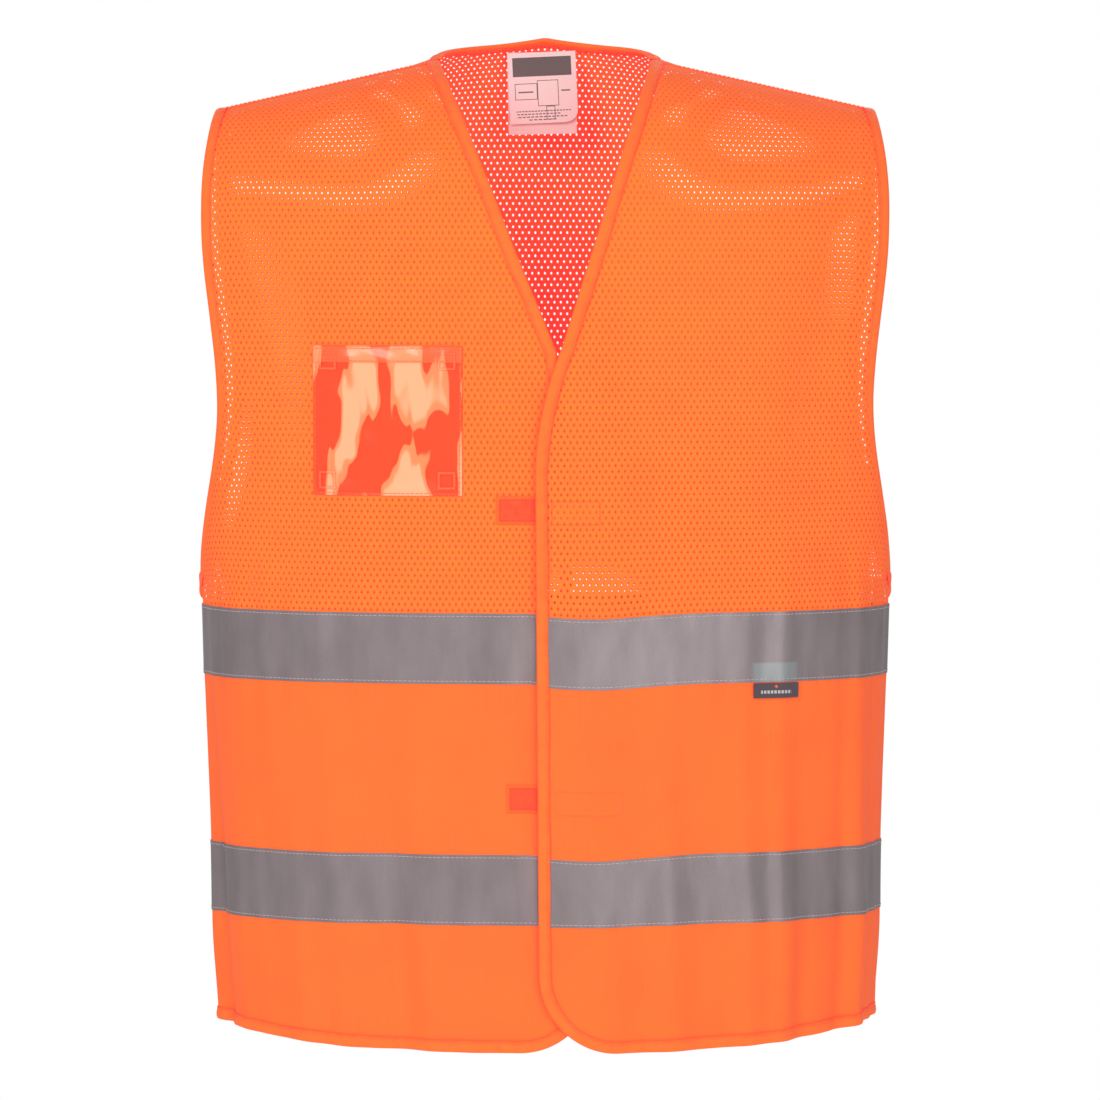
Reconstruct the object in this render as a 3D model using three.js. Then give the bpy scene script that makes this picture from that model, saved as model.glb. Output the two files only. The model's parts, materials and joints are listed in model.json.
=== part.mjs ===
// High visibility vest: a sleeveless work vest with a mesh top, a woven lower part, two rings of
// reflective tape, bound edges, a hook-and-loop front closure, a clear ID pocket and a neck label.
//
// Millimetres, +Z up. The front faces -Y and +X is the wearer's left. The origin lies between the
// shoulders, level with the neck ends of the two shoulder seams, where a wearer or a hanger holds
// the vest. Each front is split along a straight fold, so that its centre part can swing open.
import * as THREE from "three";

// ---------------------------------------------------------------- driving dimensions

const LENGTH = 703; // neck end of the shoulder seam down to the front hem
const SIDE_RISE = 12; // how much higher the hem is at the side seams
const ARMHOLE_BOTTOM = 372; // below the origin
const ARMHOLE_WAIST = 244; // height of the narrowest part between the armholes
const CHEST = 110; // height of the widest part between the armholes
const SHOULDER_DROP = 36; // the shoulder tip is this far below the neck end
const SHOULDER_START = 130; // below this level the vest hangs straight down
const SHOULDER_GIRTH = 92; // length over half the shoulder, as the rows of the grid are spaced

const HALF_WIDTH_HEM = 234;
const HALF_WIDTH_TAPE = 239; // at the lower tape
const HALF_WIDTH_UNDERARM = 247;
const HALF_WIDTH_WAIST = 233;
const HALF_WIDTH_CHEST = 244;
const HALF_WIDTH_TIP = 237;
const BACK_NARROWER = 6; // the back is cut in by this much between the armholes

const DEPTH_CHEST = 121; // half the depth of the body, front to back
const DEPTH_HEM = 124;
const ARMHOLE_HALF_GAP = 62; // half the front-to-back width of an armhole
const ROUNDNESS = 2.3; // exponent of the body's oval section: 2 is an ellipse
const OPEN_ROUNDNESS = 0.8; // power of the section's curve beside an open armhole
const OPEN_EDGE_TURN = 0.12; // how far the cloth has turned sideways at an open armhole's edge

const NECK_HALF_WIDTH = 76;
const NECK_BACK_REACH = 0.62; // the back neck edge, as a share of the depth below it
const NECK_BACK_LIFT = 34.5; // the back rises this much towards the neck, at its centre
const NECK_LIFT_REACH = 150; // and the rise fades out this far across
const NECK_CURVE = 2.2; // exponent of the back neck's outline
const V_BOTTOM = 205; // height where the fronts meet

const TAPE_WIDTH = 50;
const UPPER_TAPE_TOP = 391;
const LOWER_TAPE_PLACE = 0.571; // the share of the height left between upper tape and hem above it
const SEAM_UNDER_TAPE = 10; // mesh and woven fabric meet this far below the upper tape's top
const BINDING_WIDTH = 8.5;
const CORNER_RADIUS = 56;

const FABRIC = 1.2;
const TAPE = 0.8;
const BINDING_WALL = 0.6;
const BINDING_EASE = 1.2; // clearance between the fabric's faces and its binding
const ARMHOLE_EASE = 1.5; // the same in the armholes, where the binding turns sharply under the arm
const LOOP_PATCH = 1.2;
const HOOK_PATCH = 0.8;
const GAP = 0.3; // clearance between neighbouring pieces
const FOLD_GAP = 0.8; // clearance between the two parts of a front at its fold
const FOLD_END = 9; // the centre part starts this far below the top of the fold
const SHOULDER_SEAM = 0.12; // the front stops this short of the shoulder seam
const NECK_LEVEL_INSET = 0.6; // the back's edge inside its neck binding, as a level

const OVERLAP_MARGIN = 5; // the left front stays lifted this far past the right front's edge
const OVERLAP_RAMP = 64; // and settles back onto the body over this width
const OVERLAP_RISE = 55; // the lift fades out over this height above the bottom of the V

const PATCH_HEIGHT = 20;
const UPPER_PATCH_TOP = 308;
const LOWER_PATCH_PLACE = 0.703; // the share of the height left between the tapes above it

// Steps of the grids.
const SIDE_COLUMNS = 7;
const CENTRE_COLUMNS = 7;
const CORNER_STEPS = 6;
const NECK_STEPS = 12;
const BACK_SIDE_STEPS = 5;

// Each front in its own coordinates: "across" grows from the centre towards the side seam.
// A patch starts beside the front's binding and hangs by its drop below its level.
const FRONTS = {
  left: {
    sign: 1,
    vBottom: 11, // across at V_BOTTOM
    settled: -7, // across where the edge has turned to run straight down
    settledAt: 296,
    hem: -4,
    foldTop: 140, // height where the fold leaves the neck edge
    foldHem: 150, // across where the fold meets the hem
    patches: [
      { name: "upper", beside: 1, width: 37, drop: 2 },
      { name: "lower", beside: 2.5, width: 50, drop: 0 },
    ],
  },
  right: {
    sign: -1,
    vBottom: -8,
    settled: -12,
    settledAt: 241,
    hem: -38,
    foldTop: 121,
    foldHem: 105,
    patches: [
      { name: "upper", beside: 0.2, width: 41, drop: 0 },
      { name: "lower", beside: 0.5, width: 45, drop: 0 },
    ],
  },
};

const POCKET = { from: 58, to: 163, top: 202, height: 106, sheet: 0.6, standOff: 3.8, hem: 12 };
const LABEL = { from: -28, width: 50, top: 9, lengths: [52, 60], leaf: 0.4, y: 71.5 };
const TAB = { from: 147, width: 31, length: 11, thickness: 0.8 };

const COLOURS = {
  mesh: [0xff7a33, 0.85],
  woven: [0xff6f2a, 0.75],
  binding: [0xff6a2c, 0.7],
  tape: [0x97898c, 0.45],
  hookLoop: [0xf2603c, 0.95],
  clear: [0xf5efe9, 0.12],
  label: [0xf3eeee, 0.6],
  tab: [0x4b4145, 0.55],
};

// ---------------------------------------------------------------- derived sizes

const clamp = (v, lo, hi) => Math.min(Math.max(v, lo), hi);
const lerp = (a, b, f) => a + (b - a) * f;
const smooth = (f) => {
  const c = clamp(f, 0, 1);
  return c * c * (3 - 2 * c);
};

const HEM = -LENGTH;
const UNDERARM = -ARMHOLE_BOTTOM;
const KNEE = -SHOULDER_START;
const SHOULDER = KNEE + SHOULDER_GIRTH;
const UPPER_TAPE = [-UPPER_TAPE_TOP - TAPE_WIDTH, -UPPER_TAPE_TOP];
const LOWER_TAPE_TOP = lerp(UPPER_TAPE[0], HEM + TAPE_WIDTH, LOWER_TAPE_PLACE);
const LOWER_TAPE = [LOWER_TAPE_TOP - TAPE_WIDTH, LOWER_TAPE_TOP];
const PATCH_TOPS = {
  upper: -UPPER_PATCH_TOP,
  lower: lerp(UPPER_TAPE[0], LOWER_TAPE[1] + PATCH_HEIGHT, LOWER_PATCH_PLACE),
};
const FABRIC_SEAM = UPPER_TAPE[1] - SEAM_UNDER_TAPE;
const ON_FABRIC = FABRIC + GAP;
const EDGE_GAP = FABRIC / 2; // clearance between a fabric edge and the fold of its binding
const EDGE_INSET = BINDING_WALL + EDGE_GAP; // fabric edge inside its binding
const TRIM_INSET = BINDING_WIDTH + GAP; // tapes and patches stop beside the binding
// The left front lies over the right front: their bindings cross with this lift.
const OVERLAP_LIFT = FABRIC + 2 * (BINDING_EASE + BINDING_WALL) + GAP;

// ---------------------------------------------------------------- the body surface

// Smooth curve through stations [position, value] in rising order of position.
function through(stations, at) {
  const next = stations.findIndex(([position]) => position >= at);
  if (next === 0) return stations[0][1];
  if (next < 0) return stations[stations.length - 1][1];
  const [p0, v0] = stations[next - 1];
  const [p1, v1] = stations[next];
  return lerp(v0, v1, smooth((at - p0) / (p1 - p0)));
}

const SIDE_LINE = [
  [HEM, HALF_WIDTH_HEM],
  [LOWER_TAPE[0], HALF_WIDTH_TAPE],
  [UNDERARM, HALF_WIDTH_UNDERARM],
  [-ARMHOLE_WAIST, HALF_WIDTH_WAIST],
  [-CHEST, HALF_WIDTH_CHEST],
  [SHOULDER, HALF_WIDTH_TIP],
];

// How far a level is up the armhole's rounded lower part: 0 at its bottom, 1 at the shoulder.
const armholeRise = (t) => clamp((t - UNDERARM) / (KNEE - UNDERARM), 0, 1);

function armholeGap(t) {
  const left = 1 - armholeRise(t);
  return ARMHOLE_HALF_GAP * Math.sqrt(1 - left * left);
}

// side is -1 for the front and 1 for the back; t is the level, which runs on over the shoulder.
function halfWidth(side, t) {
  const cutIn = side > 0 ? BACK_NARROWER * Math.sin(Math.PI * shoulderToArmhole(t)) : 0;
  return through(SIDE_LINE, t) - cutIn;
}

const shoulderToArmhole = (t) => clamp((t - UNDERARM) / (SHOULDER - UNDERARM), 0, 1);

const depth = (t) => lerp(DEPTH_HEM, DEPTH_CHEST, clamp((t - HEM) / (UNDERARM - HEM), 0, 1));

// Height of the shoulder line above a point x across, and its slope there.
function shoulderLine(x) {
  const slope = -SHOULDER_DROP / (HALF_WIDTH_TIP - NECK_HALF_WIDTH);
  return { height: slope * (Math.abs(x) - NECK_HALF_WIDTH), slope };
}

// Extra height of the upper back towards the neck, and its slope away from the centre.
function neckRise(side, x) {
  const left = Math.max(1 - (x / NECK_LIFT_REACH) ** 2, 0);
  const lift = side > 0 ? NECK_BACK_LIFT : 0;
  return { height: lift * left ** 2, slope: (-4 * lift * left * Math.abs(x)) / NECK_LIFT_REACH ** 2 };
}

// A point of the body's surface, with its outward normal, n millimetres off the surface.
function surface(side, x, t, n) {
  const wide = halfWidth(side, t);
  const gap = armholeGap(t);
  const open = gap / ARMHOLE_HALF_GAP;
  const power = lerp(1 / ROUNDNESS, OPEN_ROUNDNESS, open);
  const across = Math.min(Math.abs(x) / wide, 1);
  const rest = 1 - across ** ROUNDNESS;
  const reach = gap + (depth(t) - gap) * rest ** power;
  const slopeX = (power * (depth(t) - gap) * ROUNDNESS * across ** (ROUNDNESS - 1)) / wide;
  const left = Math.max(rest, OPEN_EDGE_TURN * open);
  const plan = new THREE.Vector2(slopeX, left ** (1 - power)).normalize();
  const turn = (clamp((t - KNEE) / SHOULDER_GIRTH, 0, 1) * Math.PI) / 2;
  const line = shoulderLine(x);
  const neck = neckRise(side, x);
  const c = Math.cos(turn);
  const s = Math.sin(turn);
  const climb = (line.height - KNEE) * c + 2 * neck.height * Math.cos(2 * turn);
  const slopeUp = line.slope * s + neck.slope * Math.sin(2 * turn);
  const normal = new THREE.Vector3(
    Math.sign(x) * (plan.x * c * climb - plan.y * slopeUp * reach * s),
    side * plan.y * climb,
    plan.y * reach * s,
  ).normalize();
  const z = Math.min(t, KNEE) + (line.height - KNEE) * s + neck.height * Math.sin(2 * turn);
  return { point: new THREE.Vector3(x, side * reach * c, z).addScaledVector(normal, n), normal };
}

// ---------------------------------------------------------------- outlines

// A front's free edge: down the neckline, then down the centre front. Own coordinates.
function frontEdge(front, z) {
  if (z > -V_BOTTOM) return lerp(front.vBottom, NECK_HALF_WIDTH, (z + V_BOTTOM) / V_BOTTOM);
  if (z > -front.settledAt) {
    const f = (z + front.settledAt) / (front.settledAt - V_BOTTOM);
    return lerp(front.settled, front.vBottom, f * f);
  }
  const f = (z + front.settledAt) / (HEM + front.settledAt);
  return lerp(front.settled, front.hem, f);
}

// The same edge with its rounded lower corner, moved into the fabric by an inset.
function boundEdge(front, z, inset) {
  const slant = z > -V_BOTTOM ? (NECK_HALF_WIDTH - front.vBottom) / V_BOTTOM : 0;
  const straight = frontEdge(front, z) + inset * Math.hypot(1, slant);
  const above = z - (HEM + inset);
  const radius = CORNER_RADIUS - inset;
  if (above >= radius) return straight;
  return straight + radius - Math.sqrt(Math.max(radius ** 2 - (radius - above) ** 2, 0));
}

function foldLine(front, z) {
  const top = frontEdge(front, -front.foldTop);
  return lerp(top, front.foldHem, (z + front.foldTop) / (HEM + front.foldTop));
}

// The real height of a point at level t: above KNEE the level runs on over the shoulder.
const heightOf = (side, x, t) => surface(side, x, t, 0).point.z;

// The lift of the left front over the right front's edge, fading out sideways and upwards.
function overlapLift(front, x, z) {
  if (front.sign < 0) return 0;
  const hiddenEdge = -frontEdge(FRONTS.right, z);
  const sideways = 1 - smooth((x - hiddenEdge - OVERLAP_MARGIN) / OVERLAP_RAMP);
  const upwards = 1 - smooth((z + V_BOTTOM) / OVERLAP_RISE);
  return OVERLAP_LIFT * sideways * upwards;
}

// ---------------------------------------------------------------- solids

// Joins rings of points into a closed skin, and returns the corner numbers of its triangles.
function skin(rings, closed) {
  const around = rings[0].length;
  const index = [];
  const steps = closed ? rings.length : rings.length - 1;
  for (let i = 0; i < steps; i++) {
    const next = (i + 1) % rings.length;
    for (let j = 0; j < around; j++) {
      const k = (j + 1) % around;
      const [a, b, c, d] = [i * around + j, i * around + k, next * around + k, next * around + j];
      index.push(a, b, c, a, c, d);
    }
  }
  return index;
}

function toGeometry(points, index) {
  const flat = points.flatMap((p) => [p.x, p.y, p.z]);
  const geometry = new THREE.BufferGeometry();
  geometry.setAttribute("position", new THREE.Float32BufferAttribute(flat, 3));
  geometry.setIndex(index);
  return facingOut(geometry);
}

// Turns every face round if the solid is inside out.
function facingOut(geometry) {
  const p = geometry.getAttribute("position");
  const index = Array.from(geometry.index.array);
  const corner = (k) => new THREE.Vector3().fromBufferAttribute(p, index[k]);
  let volume = 0;
  for (let k = 0; k < index.length; k += 3) {
    volume += corner(k).dot(corner(k + 1).cross(corner(k + 2)));
  }
  if (volume < 0) {
    for (let k = 0; k < index.length; k += 3) {
      [index[k + 1], index[k + 2]] = [index[k + 2], index[k + 1]];
    }
  }
  geometry.setIndex(index);
  geometry.computeVertexNormals();
  return geometry;
}

// A shell of cloth over a grid of places: cell(i, j) gives { side, x, t, lift } at row i and
// column j, and the shell lies between the offsets inner and outer off the body's surface. From the
// column mirrored on, the cells are split along their other diagonal.
function shell(rows, columns, cell, inner, outer, mirrored = columns) {
  const points = [];
  const index = [];
  const number = (layer, i, j) => (layer * (rows + 1) + i) * (columns + 1) + j;
  for (const n of [outer, inner]) {
    for (let i = 0; i <= rows; i++) {
      for (let j = 0; j <= columns; j++) points.push(onBody(cell(i, j), n));
    }
  }
  const quad = (a, b, c, d) => index.push(a, b, c, a, c, d);
  for (let i = 0; i < rows; i++) {
    for (let j = 0; j < columns; j++) {
      for (const layer of [0, 1]) {
        const [a, b] = [number(layer, i, j), number(layer, i, j + 1)];
        const [c, d] = [number(layer, i + 1, j + 1), number(layer, i + 1, j)];
        const corners = layer ? [a, d, c, b] : [a, b, c, d];
        if (j >= mirrored) corners.push(corners.shift());
        quad(...corners);
      }
    }
  }
  for (let i = 0; i < rows; i++) {
    quad(number(0, i, 0), number(0, i + 1, 0), number(1, i + 1, 0), number(1, i, 0));
    const c = columns;
    quad(number(0, i + 1, c), number(0, i, c), number(1, i, c), number(1, i + 1, c));
  }
  for (let j = 0; j < columns; j++) {
    quad(number(0, 0, j + 1), number(0, 0, j), number(1, 0, j), number(1, 0, j + 1));
    const r = rows;
    quad(number(0, r, j), number(0, r, j + 1), number(1, r, j + 1), number(1, r, j));
  }
  return toGeometry(points, index);
}

const onBody = ({ side, x, t, lift = 0 }, n) => surface(side, x, t, n + lift).point;

// Folded binding around a fabric edge. Each stop of the path is [place on the edge, place further
// in], both corners of the fabric's own grid, so that the channel lies along the fabric.
function binding(path, closed, ease = BINDING_EASE) {
  const low = -ease - BINDING_WALL;
  const high = FABRIC + ease + BINDING_WALL;
  const wide = BINDING_WIDTH - EDGE_INSET;
  const section = [
    [-EDGE_INSET, low], [wide, low], [wide, -ease], [-EDGE_GAP, -ease],
    [-EDGE_GAP, FABRIC + ease], [wide, FABRIC + ease], [wide, high],
    [-EDGE_INSET, high],
  ];
  const edge = path.map(([place]) => onBody(place, 0));
  const last = path.length - 1;
  const rings = path.map(([place, inner], i) => {
    const before = edge[i ? i - 1 : closed ? last : 0];
    const after = edge[i < last ? i + 1 : closed ? 0 : last];
    const along = new THREE.Vector3().subVectors(after, before).normalize();
    const into = new THREE.Vector3().subVectors(onBody(inner, 0), edge[i]);
    into.addScaledVector(along, -into.dot(along)).normalize();
    const normal = new THREE.Vector3().crossVectors(along, into);
    if (normal.dot(surface(place.side, place.x, place.t, 0).normal) < 0) normal.negate();
    return section.map(([s, n]) =>
      edge[i].clone().addScaledVector(into, s).addScaledVector(normal, n),
    );
  });
  const index = skin(rings, closed);
  if (!closed) {
    const cap = [[0, 1, 2], [0, 2, 3], [0, 3, 4], [0, 4, 7], [4, 5, 6], [4, 6, 7]];
    const end = (rings.length - 1) * section.length;
    cap.forEach(([a, b, c]) => index.push(a, c, b, end + a, end + b, end + c));
  }
  return toGeometry(rings.flat(), index);
}

// ---------------------------------------------------------------- the sub-parts

const vest = new THREE.Group();

function add(name, geometry, look) {
  const [color, roughness] = COLOURS[look];
  const material = new THREE.MeshStandardMaterial({ color, roughness, metalness: 0 });
  const mesh = new THREE.Mesh(geometry, material);
  mesh.name = name;
  vest.add(mesh);
}

// Levels of a panel's rows, from a list of marks with a number of steps up to each.
function levels(start, ...runs) {
  const list = [start];
  for (const [end, steps, shape = (f) => f] of runs) {
    const from = list[list.length - 1];
    for (let k = 1; k <= steps; k++) list.push(lerp(from, end, shape(k / steps)));
  }
  return list;
}

const roundedStart = (f) => 1 - Math.cos((f * Math.PI) / 2);

const OVER_SHOULDER = [[KNEE, 1], [SHOULDER - SHOULDER_SEAM, 8]];
const SEAM_BELOW = FABRIC_SEAM - GAP / 2;
const SEAM_ABOVE = FABRIC_SEAM + GAP / 2;

// Rows of the lower panels, which stacked pieces share, so that their facets lie parallel.
const PATCH_ROWS = [PATCH_TOPS.lower - PATCH_HEIGHT, PATCH_TOPS.lower];
const MARKS = [...LOWER_TAPE, ...PATCH_ROWS, UPPER_TAPE[0], SEAM_BELOW];
const inOrder = (rows) =>
  rows.sort((a, b) => a - b).filter((t, i) => i === 0 || t - rows[i - 1] > GAP);
const ABOVE_CORNER = HEM + CORNER_RADIUS;
const CORNER_ROWS = levels(HEM + EDGE_INSET, [ABOVE_CORNER, CORNER_STEPS, roundedStart]);
const LOWER_ROWS = inOrder([...CORNER_ROWS, ...MARKS]);
const BACK_LOWER_ROWS = inOrder([HEM + EDGE_INSET, ...MARKS]);

// The rows of a tape: its own edges and the panel's rows between them.
const tapeRows = ([low, high], panel) => {
  const between = [...panel, FABRIC_SEAM].filter((t) => t > low + GAP && t < high - GAP);
  return [low, ...inOrder(between), high];
};

// The search for a panel's edge: the share of the half width where it starts, and its halvings.
const EDGE_SEARCH = 0.9;
const EDGE_HALVINGS = 40;

// The edge of a panel at its side: the side seam below the armhole, the armhole above it.
function sideEdge(side, t) {
  const wide = halfWidth(side, t);
  const inset = t > UNDERARM ? EDGE_INSET : GAP / 2;
  const edge = surface(side, wide, t, 0).point;
  let [near, far] = [wide, wide * EDGE_SEARCH];
  for (let k = 0; k < EDGE_HALVINGS; k++) {
    const middle = (near + far) / 2;
    if (surface(side, middle, t, 0).point.distanceTo(edge) < inset) near = middle;
    else far = middle;
  }
  return far;
}

// Spreads columns evenly around the oval between two places across it.
function between(side, t, x0, x1, f) {
  const wide = halfWidth(side, t);
  const angle = (x) => Math.sign(x) * Math.asin(Math.min(Math.abs(x) / wide, 1) ** (ROUNDNESS / 2));
  const a = lerp(angle(x0), angle(x1), f);
  return Math.sign(a) * wide * Math.abs(Math.sin(a)) ** (2 / ROUNDNESS);
}

// The rows near the hem bend up to follow its rise at the sides. across is a share of the width.
function hemLevel(across, t) {
  const atHem = SIDE_RISE * Math.min(across, 1) ** 3;
  return t + atHem * (1 - smooth((t - HEM) / (LOWER_TAPE[0] - HEM)));
}

// Moves a place from its row's level to the bent level, staying on the side seam if it is there.
function bent(side, own, t) {
  const edge = sideEdge(side, t);
  const share = Math.abs(own) / edge;
  const level = hemLevel(share, t);
  return { own: own + Math.sign(own) * (sideEdge(side, level) - edge) * share ** 4, level };
}

// A place on a front, a share f of the way between two edges that are functions of height.
function frontPlace(front, t, f, centreEdge, sideOf, trim) {
  const z = t > KNEE ? heightOf(-1, front.sign * NECK_HALF_WIDTH, t) : t;
  const evenly = between(-1, t, centreEdge(z), sideOf(t), f);
  const { own, level } = bent(-1, trim ? Math.max(evenly, trim(z)) : evenly, t);
  const x = front.sign * own;
  return { side: -1, x, t: level, lift: overlapLift(front, x, z) };
}

// A piece of a front over the levels given. trim cuts its first column shorter.
function frontShell(front, rows, columns, inner, outer, centreEdge, sideOf, trim) {
  const cell = (i, j) => frontPlace(front, rows[i], j / columns, centreEdge, sideOf, trim);
  return shell(rows.length - 1, columns, cell, inner, outer);
}

// The rows of a front's centre part above the seam, which its binding shares.
function centreRows(front, start) {
  const top = -front.foldTop - FOLD_END;
  return levels(start, [UPPER_TAPE[1], 1], [-front.settledAt, 3], [-V_BOTTOM, 3], [top, 3]);
}

// The edges of a front's two parts, as functions of height.
function frontEdges(front) {
  const foldTop = -front.foldTop;
  const fold = (offset) => (z) => foldLine(front, z) + offset;
  const free = (z) => boundEdge(front, z, EDGE_INSET);
  const sideCentre = fold(FOLD_GAP / 2);
  return {
    side: (t) => sideEdge(-1, t),
    free,
    trimmed: (z) => boundEdge(front, z, TRIM_INSET),
    centreSide: fold(-FOLD_GAP / 2),
    sideCentre,
    neckOrFold: (z) => (z > foldTop - GAP ? free(z) : sideCentre(z)),
  };
}

const armholeRows = (front) => [[-front.foldTop, 7, roundedStart], ...OVER_SHOULDER];

function addFront(name, front) {
  const edges = frontEdges(front);
  const cloth = [0, FABRIC];
  const start = [[UPPER_TAPE[1], 1], [UNDERARM, 1]];
  const meshRows = levels(SEAM_ABOVE, ...start, ...armholeRows(front));
  const put = (part, look, ...shape) => add(`${name}_${part}`, frontShell(front, ...shape), look);
  const sidePart = [edges.sideCentre, edges.side];
  const centrePart = [edges.free, edges.centreSide];
  put("mesh_side", "mesh", meshRows, SIDE_COLUMNS, ...cloth, edges.neckOrFold, edges.side);
  put("lower_side", "woven", LOWER_ROWS, SIDE_COLUMNS, ...cloth, ...sidePart);
  put("mesh_centre", "mesh", centreRows(front, SEAM_ABOVE), CENTRE_COLUMNS, ...cloth, ...centrePart);
  put("lower_centre", "woven", LOWER_ROWS, CENTRE_COLUMNS, ...cloth, ...centrePart);
  for (const [level, tape] of [["upper", UPPER_TAPE], ["lower", LOWER_TAPE]]) {
    const rows = tapeRows(tape, LOWER_ROWS);
    const on = [ON_FABRIC, ON_FABRIC + TAPE];
    put(`${level}_tape_side`, "tape", rows, SIDE_COLUMNS, ...on, ...sidePart);
    put(`${level}_tape_centre`, "tape", rows, CENTRE_COLUMNS, ...on, ...centrePart, edges.trimmed);
  }
}

const BACK_TOP = SHOULDER - SHOULDER_SEAM;

// The back's columns, as shares of its half width: spaced to follow the neck's curve, which starts
// where the front's neckline ends.
const NECK_SHARE = boundEdge(FRONTS.left, 0, EDGE_INSET) / sideEdge(1, BACK_TOP);
const neckShares = Array.from(
  { length: NECK_STEPS - 1 },
  (_, k) => -NECK_SHARE * Math.cos(((k + 1) * Math.PI) / NECK_STEPS),
);
const sideShares = Array.from({ length: BACK_SIDE_STEPS + 1 }, (_, k) =>
  between(1, SHOULDER, HALF_WIDTH_TIP, NECK_SHARE * HALF_WIDTH_TIP, k / BACK_SIDE_STEPS) /
    HALF_WIDTH_TIP,
);
const BACK_SHARES = [...sideShares.map((u) => -u), ...neckShares, ...sideShares.reverse()];
const BACK_COLUMNS = BACK_SHARES.length - 1;

// The level of the back's top edge: the neckline in the middle, the shoulder seam beside it.
function backTop(share) {
  const across = Math.min(Math.abs(share) / NECK_SHARE, 1);
  const reach = NECK_BACK_REACH * (1 - across ** NECK_CURVE) ** (1 / NECK_CURVE);
  return KNEE + SHOULDER_GIRTH * (Math.acos(reach) / (Math.PI / 2));
}

// A place on the back at a share of its width, f of the way up from a level to the top edge.
function backPlace(share, t) {
  const { own, level } = bent(1, share * sideEdge(1, t), t);
  return { side: 1, x: own, t: level };
}

function backShell(rows, inner, outer) {
  const cell = (i, j) => backPlace(BACK_SHARES[j], rows[i]);
  return shell(rows.length - 1, BACK_COLUMNS, cell, inner, outer, BACK_COLUMNS / 2);
}

const BACK_ARMHOLE_ROWS = [[KNEE, 8, roundedStart], [BACK_TOP, 8]];
const BACK_MESH_ROWS = levels(SEAM_ABOVE, [UPPER_TAPE[1], 1], [UNDERARM, 1], ...BACK_ARMHOLE_ROWS);

// A place of the back's mesh fabric, whose rows close up under the neckline.
function backMeshPlace(i, j) {
  const top = Math.min(backTop(BACK_SHARES[j]) - NECK_LEVEL_INSET, BACK_TOP);
  const f = (BACK_MESH_ROWS[i] - SEAM_ABOVE) / (BACK_TOP - SEAM_ABOVE);
  return backPlace(BACK_SHARES[j], lerp(SEAM_ABOVE, top, f));
}

function addBack() {
  const rows = BACK_MESH_ROWS.length - 1;
  const mesh = shell(rows, BACK_COLUMNS, backMeshPlace, 0, FABRIC, BACK_COLUMNS / 2);
  add("back_mesh", mesh, "mesh");
  add("back_lower", backShell(BACK_LOWER_ROWS, 0, FABRIC), "woven");
  const on = [ON_FABRIC, ON_FABRIC + TAPE];
  add("back_upper_tape", backShell(tapeRows(UPPER_TAPE, BACK_LOWER_ROWS), ...on), "tape");
  add("back_lower_tape", backShell(tapeRows(LOWER_TAPE, BACK_LOWER_ROWS), ...on), "tape");
}

function addArmholeBinding(name, front) {
  const edges = frontEdges(front);
  const rows = levels(UNDERARM, ...armholeRows(front));
  const inColumn = (SIDE_COLUMNS - 1) / SIDE_COLUMNS;
  const place = (t, f) => frontPlace(front, t, f, edges.neckOrFold, edges.side);
  const frontStops = rows.map((t, i) =>
    i ? [place(t, 1), place(t, inColumn)] : [place(t, 1), place(UPPER_TAPE[1], 1)],
  );
  const [edge, inner] = front.sign > 0 ? [BACK_COLUMNS, BACK_COLUMNS - 1] : [0, 1];
  const backStops = BACK_MESH_ROWS.map((_, i) =>
    i > 2 ? [backMeshPlace(i, edge), backMeshPlace(i, inner)]
      : [backMeshPlace(i, edge), backMeshPlace(i - 1, edge)],
  );
  const path = [...frontStops, ...backStops.slice(2).reverse()];
  add(name, binding(path, true, ARMHOLE_EASE), "binding");
}

function addNeckBinding() {
  const frontStops = (front) => {
    const edges = frontEdges(front);
    const place = (t, f) => frontPlace(front, t, f, edges.neckOrFold, edges.side);
    const rows = levels(FOLD_GAP - front.foldTop, ...OVER_SHOULDER);
    return rows.map((t) => [place(t, 0), place(t, 1 / SIDE_COLUMNS)]);
  };
  const top = BACK_MESH_ROWS.length - 1;
  const firstNeck = BACK_SIDE_STEPS;
  const stops = Array.from({ length: NECK_STEPS + 1 }, (_, k) => {
    const j = firstNeck + k;
    const outward = k < NECK_STEPS / 2 ? j - 1 : k > NECK_STEPS / 2 ? j + 1 : j;
    const atCorner = k === 0 || k === NECK_STEPS;
    return [backMeshPlace(top, j), backMeshPlace(atCorner ? top : top - 1, outward)];
  });
  const path = [...frontStops(FRONTS.right), ...stops, ...frontStops(FRONTS.left).reverse()];
  add("neck_binding", binding(path, false), "binding");
}

// A front's own binding: down from the fold, round the lower corner and along to the fold.
function addFrontBinding(name, front) {
  const edges = frontEdges(front);
  const place = (t, f) => frontPlace(front, t, f, edges.free, edges.centreSide);
  const upper = centreRows(front, SEAM_ABOVE);
  const lower = LOWER_ROWS.slice(1);
  const edge = [...lower, ...upper].reverse();
  const next = 1 / CENTRE_COLUMNS;
  const edgeStops = edge.map((t) => [place(t, 0), place(t, next)]);
  const aboveCorner = place(LOWER_ROWS.find((t) => t >= ABOVE_CORNER), next);
  edge.forEach((t, k) => {
    if (t < ABOVE_CORNER) edgeStops[k][1] = aboveCorner;
  });
  const hemStops = Array.from({ length: CENTRE_COLUMNS + 1 }, (_, k) => {
    const f = k / CENTRE_COLUMNS;
    return [place(LOWER_ROWS[0], f), place(LOWER_ROWS[1], f)];
  });
  hemStops[0][1] = aboveCorner;
  add(name + "_binding", binding([...edgeStops, ...hemStops], false), "binding");
}

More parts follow.
